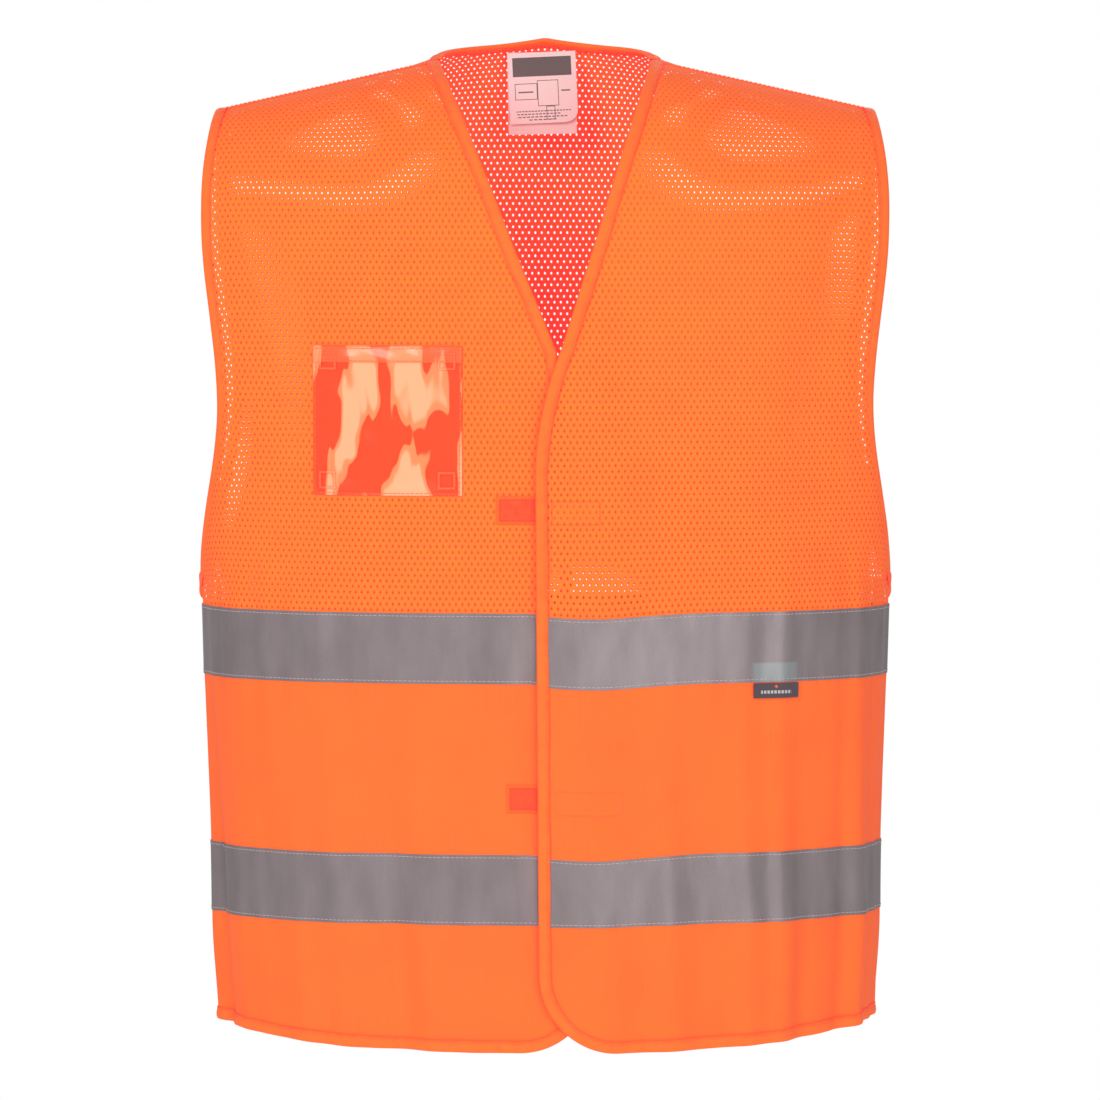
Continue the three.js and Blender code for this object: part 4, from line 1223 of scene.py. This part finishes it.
def binding(names, edge_places, inward_of, trim, closed=False, seed=0):
    """Folded binding and its stitches along an edge path of (side, x, t, lift) places."""
    points, normals = [], []
    for side, x, t, lift in edge_places:
        points.append(on_cloth(side, x, t, (CLOTH[0] + CLOTH[1]) / 2, lift) / MM)
        normals.append(surface(side, x, t)[1])
    edge, up = np.concatenate(points), np.concatenate(normals)
    gaps = np.linalg.norm(np.diff(edge, axis=0), axis=1)
    keep = np.concatenate([[True], gaps > CLOSEST_POINTS])
    edge, up = even_steps(edge[keep], up[keep], BINDING_STEP, closed)
    along, up = frame_along(edge, up, closed)
    inward = np.cross(up, along) * inward_of
    run = run_along(edge)
    wobble = sum(size * np.sin(run / pitch + share * seed) for size, pitch, share in BINDING_WOBBLE)
    loop = walled_section(trim.binding_wall / MM / 2)
    scale = trim.binding_width / MM / SECTION_WIDTH
    s = loop[None, :, 0] * scale + wobble[:, None] * (loop[None, :, 0] / 8)
    n = loop[None, :, 1] * (1 + 0.35 * wobble[:, None])
    rings = edge[:, None] + inward[:, None] * s[..., None] + up[:, None] * n[..., None]
    count, around = rings.shape[:2]
    probe = np.cross(rings[0, 1] - rings[0, 0], rings[1, 0] - rings[0, 0])
    faces = outward(ring_faces(count, around, closed), np.dot(probe, up[0]) < 0)
    places = np.stack([np.broadcast_to(run[:, None], (count, around)),
                       np.broadcast_to(loop[None, :, 0], (count, around))], -1)
    piece = new_mesh(names[0], rings * MM, faces, material("binding_tape"), places)
    row = edge + inward * (STITCH_LINE * scale)
    groups = [along_path((row + face * up * STITCH_HEIGHT) * MM, face * up, trim.stitch_pitch,
                         seed + k) for k, face in enumerate((1, -1))]
    thread = tubes(names[1], groups, "orange_thread")
    return piece, thread


def even_steps(edge, up, step, closed):
    """Spreads the points of a path evenly along it."""
    if closed:
        edge, up = np.concatenate([edge, edge[:1]]), np.concatenate([up, up[:1]])
    run = run_along(edge)
    count = int(run[-1] / step)
    at = np.linspace(0, run[-1], count + 1)
    if closed:
        at = at[:-1]
    facing = read_at(at, run, up)
    return read_at(at, run, edge), facing / np.linalg.norm(facing, axis=1, keepdims=True)


EDGE = 0.9  # the binding's path lies this far inside the finished edge
SEAM_SHARE = 0.99995  # the armholes' paths lie just inside the side seams


def front_binding_path(front):
    """Down the neckline and the centre edge, round the lower corner, along to the side seam."""
    levels = np.linspace(SHOULDER - 0.3, HEM + CORNER_RADIUS, 500)
    heights = surface(-1, np.full(levels.shape, NECK_HALF_WIDTH), levels)[0][:, 2]
    own = bound_edge(front, heights, EDGE)
    turn = np.linspace(0, np.pi / 2, 30)[1:]
    radius = CORNER_RADIUS - EDGE
    corner_z = HEM + CORNER_RADIUS - radius * np.sin(turn)
    corner_own = front_edge(front, corner_z) + EDGE + radius * (1 - np.cos(turn))
    hem_f = np.linspace(0, 1, 120)[1:]
    hem_own = between(-1, np.full(hem_f.shape, HEM + EDGE), corner_own[-1],
                      half_width(-1, HEM + EDGE), hem_f)
    own = np.concatenate([own, corner_own, hem_own])
    t = np.concatenate([levels, corner_z, np.full(hem_own.shape, HEM + EDGE)])
    own, t = bent(-1, own, t)
    x = front["sign"] * own
    return [(-1, x, t, overlap_lift(front, x, t))]


def armhole_path(sign):
    """Up the front of an armhole and down its back."""
    levels = UNDERARM + (SHOULDER - 0.2 - UNDERARM) * np.linspace(0, 1, 260) ** 2
    front_x = sign * half_width(-1, levels) * SEAM_SHARE
    back_levels = levels[::-1][1:-1]
    back_x = sign * half_width(1, back_levels) * SEAM_SHARE
    return [(-1, front_x, levels, 0.0), (1, back_x, back_levels, 0.0)]


def back_neck_path():
    """Along the back's neckline, from shoulder to shoulder."""
    angle = np.linspace(np.pi - 0.02, 0.02, 160)
    x = NECK_HALF_WIDTH * np.cos(angle)
    return [(1, x, np.minimum(back_neck_level(x) - 0.6, SHOULDER - 0.2), 0.0)]


def back_hem_path():
    """Along the back's hem, from side seam to side seam."""
    x, t, lift = back_places([HEM + EDGE], 240)
    return [(1, x[0], t[0], lift)]


class VEST_OT_bindings(bpy.types.Operator):
    """Fold the binding over every edge and stitch it"""
    bl_idname = "vest.bindings"
    bl_label = "Bindings"

    def execute(self, context):
        trim = context.scene.vest_trim
        for seed, (which, front) in enumerate(FRONTS.items(), 1):
            names = (f"front_{which}_binding_tape", f"front_{which}_binding_stitches")
            tape, thread = binding(names, front_binding_path(front), front["sign"], trim,
                                   seed=seed)
            join_front(tape, which)
            join_front(thread, which)
            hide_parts(f"front_{which}_binding")
        for seed, (which, front) in enumerate(FRONTS.items(), 3):
            names = (f"armhole_{which}_binding_tape", f"armhole_{which}_stitches")
            tape, thread = binding(names, armhole_path(front["sign"]), front["sign"], trim,
                                   closed=True, seed=seed)
            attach(tape, "body")
            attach(thread, "body")
            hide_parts(f"armhole_binding_{which}")
        for name, path, node, inward, seed in (
                ("back_neck", back_neck_path(), "neck_binding", 1, 5),
                ("back_hem", back_hem_path(), "hem_binding", -1, 6)):
            tape, thread = binding((f"{name}_binding", f"{name}_stitches"), path, inward, trim,
                                   seed=seed)
            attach(tape, "body")
            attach(thread, "body")
            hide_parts(node)
        return {"FINISHED"}


SEAM_SIDES = 10


def rolled(centre, up, height, breadth):
    """A closed flattened roll along a path, in millimetres across and metres along."""
    along = np.gradient(centre, axis=0)
    along /= np.linalg.norm(along, axis=1, keepdims=True)
    up = up - along * (up * along).sum(1, keepdims=True)
    up = up / np.linalg.norm(up, axis=1, keepdims=True)
    aside = np.cross(along, up)
    angle = np.arange(SEAM_SIDES) * 2 * np.pi / SEAM_SIDES
    height, breadth = (np.broadcast_to(size, len(centre))[:, None, None] * MM
                       for size in (height, breadth))
    ring = (aside[:, None] * np.cos(angle)[None, :, None] * breadth
            + up[:, None] * np.sin(angle)[None, :, None] * height)
    points = (centre[:, None] + ring).reshape(-1, 3)
    count = len(centre)
    faces = []
    for i in range(count - 1):
        for k in range(SEAM_SIDES):
            a, b = i * SEAM_SIDES + k, i * SEAM_SIDES + (k + 1) % SEAM_SIDES
            faces.append((a, a + SEAM_SIDES, b + SEAM_SIDES, b))
    faces.append(tuple(range(SEAM_SIDES)))
    last = (count - 1) * SEAM_SIDES
    faces.append(tuple(range(last + SEAM_SIDES - 1, last - 1, -1)))
    return points, faces


KNOB_LENGTH, KNOB_OUT = 21.0, 0.55
SHOULDER_SEAM_ROW = 2.2  # its stitch rows lie this far to either side


class VEST_OT_seams(bpy.types.Operator):
    """Close the side seams and the shoulder seams"""
    bl_idname = "vest.seams"
    bl_label = "Seams"

    def execute(self, context):
        for which, front in FRONTS.items():
            self.side_seam(which, front["sign"])
            self.seam_knob(which, front["sign"])
            self.shoulder_seam(which, front["sign"], context.scene.vest_trim)
        return {"FINISHED"}

    @staticmethod
    def roll(name, centre, up, height, breadth, run):
        """A rolled seam, with its places along and round it."""
        points, faces = rolled(centre, up, height, breadth)
        places = np.stack([np.repeat(run, SEAM_SIDES), np.tile(np.arange(SEAM_SIDES), len(run))],
                          -1)
        piece = new_mesh(name, points, faces, material("binding_tape"), places)
        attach(piece, "body")

    def side_seam(self, which, sign):
        """A rolled seam ridge from the armhole down to the hem binding."""
        t = spread(UNDERARM + 2, HEM + SIDE_RISE + 2, -3.0)
        centre = on_cloth(-1, sign * half_width(-1, t), t, 0.7)
        sideways = np.broadcast_to([sign, 0.0, 0.0], centre.shape)
        self.roll(f"side_seam_{which}", centre, sideways, 1.0, 1.5, t)

    def seam_knob(self, which, sign):
        """The lump where the side seam is rolled into the armhole binding."""
        down = np.linspace(0, 1, 15)
        t = UNDERARM + 5 - KNOB_LENGTH * down
        bulge = 2.6 * np.sin(np.pi * down) ** 0.7 + 0.8 * np.sin(3 * np.pi * down)
        centre = on_cloth(-1, sign * half_width(-1, t), t, 0.4)
        centre = centre + np.stack([sign * bulge, 0 * t, 0 * t], -1) * MM * KNOB_OUT
        swell = 0.35 + 0.65 * np.sin(np.pi * down) ** 0.6
        sideways = np.broadcast_to([sign, 0.0, 0.0], centre.shape)
        self.roll(f"side_seam_knob_{which}", centre, sideways, 2.3 * swell, 3.4 * swell, t)

    def shoulder_seam(self, which, sign, trim):
        """A folded seam over the shoulder where the front meets the back."""
        x = sign * spread(NECK_HALF_WIDTH + 3, HALF_WIDTHS["tip"] - 3, 2.5)
        t = np.full(x.shape, SHOULDER - 0.1)
        centre = on_cloth(-1, x, t, 0.9)
        _, up = surface(-1, x, t)
        self.roll(f"shoulder_seam_{which}", centre, up, 1.0, 4.2, np.abs(x))
        line = centre + up * 1.1 * MM
        groups = [along_path(line + np.array([0, y * MM, 0]), up, trim.stitch_pitch, 11 + k)
                  for k, y in enumerate((-SHOULDER_SEAM_ROW, SHOULDER_SEAM_ROW))]
        thread = tubes(f"shoulder_seam_{which}_stitches", groups, "orange_thread")
        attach(thread, "body")


PATCH_ROW = 1.8  # the patches' stitch rows lie this far inside their edges
PATCH_BORDER, PATCH_RISE, PATCH_PUFF = 1.6, 1.2, 0.9  # a flat border, then the brushed pile
HOOK_HEIGHTS = (-1.0, 0.1)


class VEST_OT_closure(bpy.types.Operator):
    """Sew on the loop patches and the hook patches of the front closure"""
    bl_idname = "vest.closure"
    bl_label = "Hook and Loop Patches"

    def execute(self, context):
        trim = context.scene.vest_trim
        for level in ("upper", "lower"):
            self.patch(f"loop_patch_{level}", "right", PATCH, TAPE[1] + 0.9, trim)
            self.patch(f"hook_patch_{level}", "left", HOOK_HEIGHTS, CLOTH[1] + 0.05, trim)
        return {"FINISHED"}

    def patch(self, node, which, heights, thread_height, trim):
        low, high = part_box(node)
        front = FRONTS[which]
        columns = spread(low.x / MM, high.x / MM, 1.5)
        rows = spread(low.z / MM, high.z / MM, 1.5)
        x, t = np.meshgrid(columns, rows)
        lift = overlap_lift(front, x, t)
        edge = np.minimum(np.minimum(x - x.min(), x.max() - x),
                          np.minimum(t - t.min(), t.max() - t))
        puff = PATCH_PUFF * smooth((edge - PATCH_BORDER) / PATCH_RISE)
        outer = on_cloth(-1, x, t, heights[1] - 0.5 + puff, lift)
        inner = on_cloth(-1, x, t, heights[0], lift)
        piece = thin_sheet(f"{node}_pile", outer, inner, "pile", np.stack([edge, t], -1))
        left, right = columns[0] + PATCH_ROW, columns[-1] - PATCH_ROW
        foot, top = rows[0] + PATCH_ROW, rows[-1] - PATCH_ROW
        corners = [(left, foot), (right, foot), (right, top), (left, top)]
        groups = []
        for k in range(4):
            (x0, z0), (x1, z1) = corners[k], corners[(k + 1) % 4]
            line_x, line_z = np.linspace(x0, x1, 30), np.linspace(z0, z1, 30)
            lift = overlap_lift(front, line_x, line_z)
            points = on_cloth(-1, line_x, line_z, thread_height, lift)
            groups.append(along_path(points, surface(-1, line_x, line_z)[1],
                                     trim.stitch_pitch * 0.8, trim.seed + k))
        thread = tubes(f"{node}_stitches", groups, "orange_thread")
        for made in (piece, thread):
            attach(made, f"front_{which}")
        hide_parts(node)


VINYL_WALL, FOLD_STEP = 0.25, 0.5  # thickness of the vinyl, height of its folded hem
MARK_SIZE, MARK_LINE, MARK_INSET = 12.5, 1.6, 4.6
POCKET_ROW = 1.6  # the pocket's stitch rows lie this far inside its edges


class VEST_OT_pocket(bpy.types.Operator):
    """Sew on the clear badge pocket with its hem, corner marks and stitching"""
    bl_idname = "vest.pocket"
    bl_label = "Badge Pocket"

    def execute(self, context):
        low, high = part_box("id_pocket_window")
        hem_low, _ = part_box("id_pocket_hem")
        self.left, self.right = low.x / MM, high.x / MM
        self.foot, self.top = low.z / MM, high.z / MM
        self.hem = hem_low.z / MM
        window = self.sheet("id_pocket_sheet", (self.left, self.right, self.foot, self.top),
                            VINYL, "vinyl")
        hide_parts("id_pocket_window")
        fold = self.sheet("id_pocket_fold", (self.left, self.right, self.hem, self.top - 0.2),
                          VINYL + FOLD_STEP, "vinyl_edge")
        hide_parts("id_pocket_hem")
        HUNG.append((window, "laid", ["front_right_mesh_cloth"], ["id_pocket_fold",
                                                                  "id_pocket_stitches"]))
        for piece in (window, fold):
            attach(piece, "body")
        self.marks()
        self.sew(context.scene.vest_trim)
        return {"FINISHED"}

    def swell(self, x, z):
        """How far the vinyl stands off the cloth."""
        edge = np.minimum(np.minimum(x - self.left, self.right - x),
                          np.minimum(z - self.foot, (self.top - z) * 1.4 + 2))
        wave = np.sin(x / 9.5 + 1.5 * np.sin(z / 17)) * np.sin(z / 21 + 0.8)
        return smooth(edge / 16) * (1.3 + 0.9 * wave + 0.35 * np.sin(x / 4.3 + z / 6.1))

    def at(self, x, z, height):
        """Points on the vinyl, in metres."""
        return on_cloth(-1, x, z, height + self.swell(x, z))

    def sheet(self, name, area, height, look):
        """A sheet of vinyl over an area (left, right, foot, top)."""
        left, right, foot, top = area
        x, z = np.meshgrid(spread(left, right, 1.6), spread(foot, top, 1.6))
        outer, inner = self.at(x, z, height + VINYL_WALL), self.at(x, z, height)
        piece = thin_sheet(name, outer, inner, look)
        record_cut(piece, cut_of(outer))
        return piece

    def marks(self):
        """Four pressed square outlines near the corners."""
        size, line, inset = MARK_SIZE, MARK_LINE, MARK_INSET
        points, faces = [], []
        for right_side in (False, True):
            for upper in (False, True):
                x0 = self.right - inset - size if right_side else self.left + inset
                z0 = self.top - inset - size if upper else self.foot + inset
                for a, b, c, d in ((0, size, 0, line), (0, size, size - line, size),
                                   (0, line, line, size - line),
                                   (size - line, size, line, size - line)):
                    x, z = np.meshgrid(spread(x0 + a, x0 + b, 1.0), spread(z0 + c, z0 + d, 0.8))
                    outer = self.at(x, z, MARK_HEIGHT[1])
                    inner = self.at(x, z, MARK_HEIGHT[0])
                    start = len(points)
                    points += outer.reshape(-1, 3).tolist() + inner.reshape(-1, 3).tolist()
                    faces += [tuple(i + start for i in face) for face in slab_faces(*x.shape)]
        piece = new_mesh("id_pocket_corner_marks", points, faces, material("vinyl_edge"))
        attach(piece, "body")

    def sew(self, trim):
        """Rows along the foot and the sides, two at the top and one along the hem."""
        inset = POCKET_ROW
        rows = [((self.left + inset, self.foot + inset), (self.right - inset, self.foot + inset)),
                ((self.left + inset, self.foot + inset), (self.left + inset, self.top - 1)),
                ((self.right - inset, self.foot + inset), (self.right - inset, self.top - 1)),
                ((self.left + inset, self.top - 2), (self.right - inset, self.top - 2)),
                ((self.left + 3, self.hem + 1.2), (self.right - 3, self.hem + 1.2))]
        groups = []
        for k, ((x0, z0), (x1, z1)) in enumerate(rows):
            x, z = np.linspace(x0, x1, 60), np.linspace(z0, z1, 60)
            height = VINYL + (0.85 if k > 2 else 0.35)
            groups.append(along_path(self.at(x, z, height), surface(-1, x, z)[1],
                                     trim.stitch_pitch * 0.95, trim.seed + k))
        thread = tubes("id_pocket_stitches", groups, "orange_thread")
        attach(thread, "body")


LABEL_CORNER = 9.0  # the front leaf's lower corner is cut round
LABEL_TILTS = (2.6, 1.2)  # degrees that each leaf hangs askew
LABEL_WALL, PRINT_HEIGHT = 0.24, 52.0


class VEST_OT_label(bpy.types.Operator):
    """Hang the printed two-leaf label inside the back neck"""
    bl_idname = "vest.label"
    bl_label = "Neck Label"

    def execute(self, context):
        for k, leaf in enumerate(("front", "back")):
            node = f"neck_label_{leaf}_leaf"
            piece = self.leaf(node, k)
            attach(piece, "neck_label")
            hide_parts(node)
            HUNG.append((piece, "hung", ["back_neck_binding"], []))
        return {"FINISHED"}

    @staticmethod
    def leaf(node, k):
        """One satin leaf, front (0) or back (1), curling a little as it hangs."""
        low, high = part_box(node)
        wide, tall = (high.x - low.x) / MM, (high.z - low.z) / MM
        u, v = np.meshgrid(spread(0, wide, 1.25), spread(0, tall, 1.25))
        corner = LABEL_CORNER
        if k == 0:
            reach = np.sqrt(np.maximum(corner ** 2 - np.maximum(corner - v, 0) ** 2, 0))
            u = np.minimum(u, wide - corner + reach)
        tilt = math.radians(LABEL_TILTS[k])
        drop = tall - v
        x = low.x / MM + u + drop * math.sin(tilt)
        z = high.z / MM - drop * math.cos(tilt) + (u - wide / 2) * math.sin(tilt)
        curl = 1.1 * np.sin(u / wide * np.pi) + 1.5 * (drop / tall) ** 2 * (1 - 1.6 * k)
        y = (low.y + high.y) / 2 / MM - curl + 0.35 * np.sin(u / 7 + v / 11) * drop / tall
        front = np.stack([x, y - LABEL_WALL / 2, z], -1) * MM
        back = np.stack([x, y + LABEL_WALL / 2, z], -1) * MM
        places = np.stack([u, v - (tall - PRINT_HEIGHT)], -1)
        piece = thin_sheet(f"{node}_satin", front, back, "satin", places)
        piece.data.set_sharp_from_angle(angle=math.radians(50))
        record_cut(piece, cut_of(front))
        return piece


TAB_FOLD = 0.55  # radius of the tab's folded end
TAB_TOP = 0.3  # the tab starts this far below the tape's stitching
TAB_STAND, TAB_WALL = 1.1, 0.2  # how far it stands off the cloth, and its thickness
TAB_WAVE, TAB_WAVE_PITCH = 0.35, 8.0


class VEST_OT_tab(bpy.types.Operator):
    """Fold the dark side tab that hangs from under the upper tape"""
    bl_idname = "vest.tab"
    bl_label = "Side Tab"

    def execute(self, context):
        low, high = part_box("side_tab")
        left, right = low.x / MM, high.x / MM
        top = high.z / MM - TAB_TOP
        drop = (high.z - low.z) / MM - TAB_TOP
        leg = drop - TAB_FOLD
        stations = [(z, 2 * TAB_FOLD, z) for z in np.linspace(0, leg, 14)]
        for angle in np.linspace(0, np.pi, 7)[1:-1]:
            stations.append((leg + TAB_FOLD * math.sin(angle), TAB_FOLD * (1 + math.cos(angle)),
                             leg + TAB_FOLD * angle))
        stations += [(z, 0.0, 2 * leg + math.pi * TAB_FOLD - z) for z in np.linspace(leg, 0, 14)]
        down, off, run = (np.array(column)[:, None] for column in zip(*stations))
        u = spread(0, right - left, 1.2)[None, :]
        x, z = np.broadcast_arrays(left + u, top - down)
        wave = TAB_WAVE * np.sin(u / TAB_WAVE_PITCH) * (down / drop)
        height = CLOTH[1] + TAB_STAND + off + wave
        outer = on_cloth(-1, x, z, height + TAB_WALL / 2)
        inner = on_cloth(-1, x, z, height - TAB_WALL / 2)
        cover = (off > TAB_FOLD)[..., None]
        outer, inner = np.where(cover, outer, inner), np.where(cover, inner, outer)
        places = np.stack(np.broadcast_arrays(u, drop - run), -1)
        piece = thin_sheet("side_tab_tape", outer, inner, "tab_tape", places)
        piece.data.set_sharp_from_angle(angle=math.radians(50))
        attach(piece, "side_tab")
        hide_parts("side_tab")
        record_cut(piece, cut_of(outer))
        HUNG.append((piece, "folded", ["front_left_lower_cloth"], []))
        return {"FINISHED"}


class VEST_OT_record(bpy.types.Operator):
    """Go through every sheet of cloth and work out a bounded area from its flat cut, which is not
    kept
    """
    bl_idname = "vest.record_cuts"
    bl_label = "Record Cuts"

    def execute(self, context):
        for piece, held, rests_on, trim in HUNG:
            width, tall, area = piece["cut_width"], piece["cut_length"], piece["cut_area"]
            min(max(area, 0.3 * width * tall), width * tall)
        return {"FINISHED"}


FLOOR_RADIUS, FLOOR_CORNERS = 4.3, 96
VEST_MIDDLE = (0.0, 0.0, -0.35)  # the lights point at it
# Soft square lights: name, place, size, share of the key light's power.
LIGHTS = (("key", (-1.5, -2.9, 1.2), 1.5, 1.0), ("fill", (1.2, -3.0, 0.2), 1.8, 0.55),
          ("back_left", (1.2, 3.0, 1.0), 1.8, 0.6), ("back_right", (-1.4, 3.0, 0.6), 1.8, 0.5))


class VEST_OT_studio(bpy.types.Operator):
    """Set up the floor, the soft light and the camera"""
    bl_idname = "vest.studio"
    bl_label = "Studio"

    def execute(self, context):
        scene, studio = context.scene, context.scene.vest_studio
        self.camera(scene, studio)
        self.floor(scene, studio)
        self.surroundings(scene, studio)
        self.lights(scene, studio)
        scene.view_settings.view_transform = "Standard"
        scene.view_settings.look = "None"
        return {"FINISHED"}

    @staticmethod
    def camera(scene, studio):
        data = bpy.data.cameras.new("camera")
        data.lens = studio.lens
        camera = bpy.data.objects.new("camera", data)
        scene.collection.objects.link(camera)
        front = -DEPTH_CHEST * MM
        tilt = math.atan2(studio.eye - studio.aim, studio.distance)
        camera.location = (studio.aside, front - studio.distance, studio.eye)
        camera.rotation_euler = (math.pi / 2 - tilt, 0, 0)
        scene.camera = camera

    @staticmethod
    def floor(scene, studio):
        turn = np.arange(FLOOR_CORNERS) * 2 * np.pi / FLOOR_CORNERS
        mesh = bpy.data.meshes.new("studio_floor")
        mesh.from_pydata([(FLOOR_RADIUS * math.cos(a), FLOOR_RADIUS * math.sin(a), 0)
                          for a in turn], [], [tuple(range(FLOOR_CORNERS))])
        floor = bpy.data.objects.new("studio_floor", mesh)
        floor.location.z = studio.floor
        scene.collection.objects.link(floor)
        shader = Shader("studio_floor")
        where, *_ = shader.place()
        tone = shader.noise(where, 0.8)
        base = shader.mix(tone, (0.86, 0.86, 0.85), (0.9, 0.9, 0.9))
        mesh.materials.append(shader.finish(Base_Color=base, Roughness=0.9,
                                            Emission_Color=(1.0, 1.0, 1.0),
                                            Emission_Strength=0.12))

    @staticmethod
    def surroundings(scene, studio):
        """A backdrop that is seen pure white, and lights the cloth more softly than that."""
        world = bpy.data.worlds.new("studio")
        world.use_nodes = True
        nodes, links = world.node_tree.nodes, world.node_tree.links
        background = nodes["Background"]
        background.inputs["Color"].default_value = (1, 1, 1, 1)
        seen = nodes.new("ShaderNodeLightPath").outputs["Is Camera Ray"]
        level = nodes.new("ShaderNodeMapRange")
        level.inputs["To Min"].default_value = studio.sky
        level.inputs["To Max"].default_value = 1.0
        links.new(seen, level.inputs["Value"])
        links.new(level.outputs[0], background.inputs["Strength"])
        scene.world = world

    @staticmethod
    def lights(scene, studio):
        for name, place, size, share in LIGHTS:
            data = bpy.data.lights.new(name, "AREA")
            data.size = size
            data.energy = studio.key * share
            light = bpy.data.objects.new(name, data)
            light.location = place
            light.rotation_euler = vector_turn(np.subtract(VEST_MIDDLE, place))
            scene.collection.objects.link(light)


def vector_turn(facing):
    """Euler angles that point a light's own -Z along a direction."""
    x, y, z = facing
    return (math.atan2(math.hypot(x, y), -z), 0.0, math.atan2(-x, y))


STEPS = (VEST_OT_mesh_top, VEST_OT_lower_panels, VEST_OT_tapes, VEST_OT_bindings,
         VEST_OT_seams, VEST_OT_closure, VEST_OT_pocket, VEST_OT_label, VEST_OT_tab,
         VEST_OT_record, VEST_OT_studio)


class VEST_PT_panel(bpy.types.Panel):
    """The vest's settings and its steps, in order"""
    bl_idname = "VEST_PT_panel"
    bl_label = "Vest"
    bl_space_type = "VIEW_3D"
    bl_region_type = "UI"
    bl_category = "Vest"

    def draw(self, context):
        for name, group in PROPERTY_GROUPS.items():
            box = self.layout.box()
            for prop in group.__annotations__:
                box.prop(getattr(context.scene, name), prop)
        for step in STEPS:
            self.layout.operator(step.bl_idname)


CLASSES = (*PROPERTY_GROUPS.values(), *STEPS, VEST_PT_panel)


def register():
    for cls in CLASSES:
        bpy.utils.register_class(cls)
    for name, group in PROPERTY_GROUPS.items():
        setattr(bpy.types.Scene, name, PointerProperty(type=group))


def unregister():
    for name in PROPERTY_GROUPS:
        delattr(bpy.types.Scene, name)
    for cls in reversed(CLASSES):
        bpy.utils.unregister_class(cls)


def main():
    register()
    for step in STEPS:
        group, name = step.bl_idname.split(".")
        getattr(getattr(bpy.ops, group), name)()


if __name__ == "__main__":
    main()
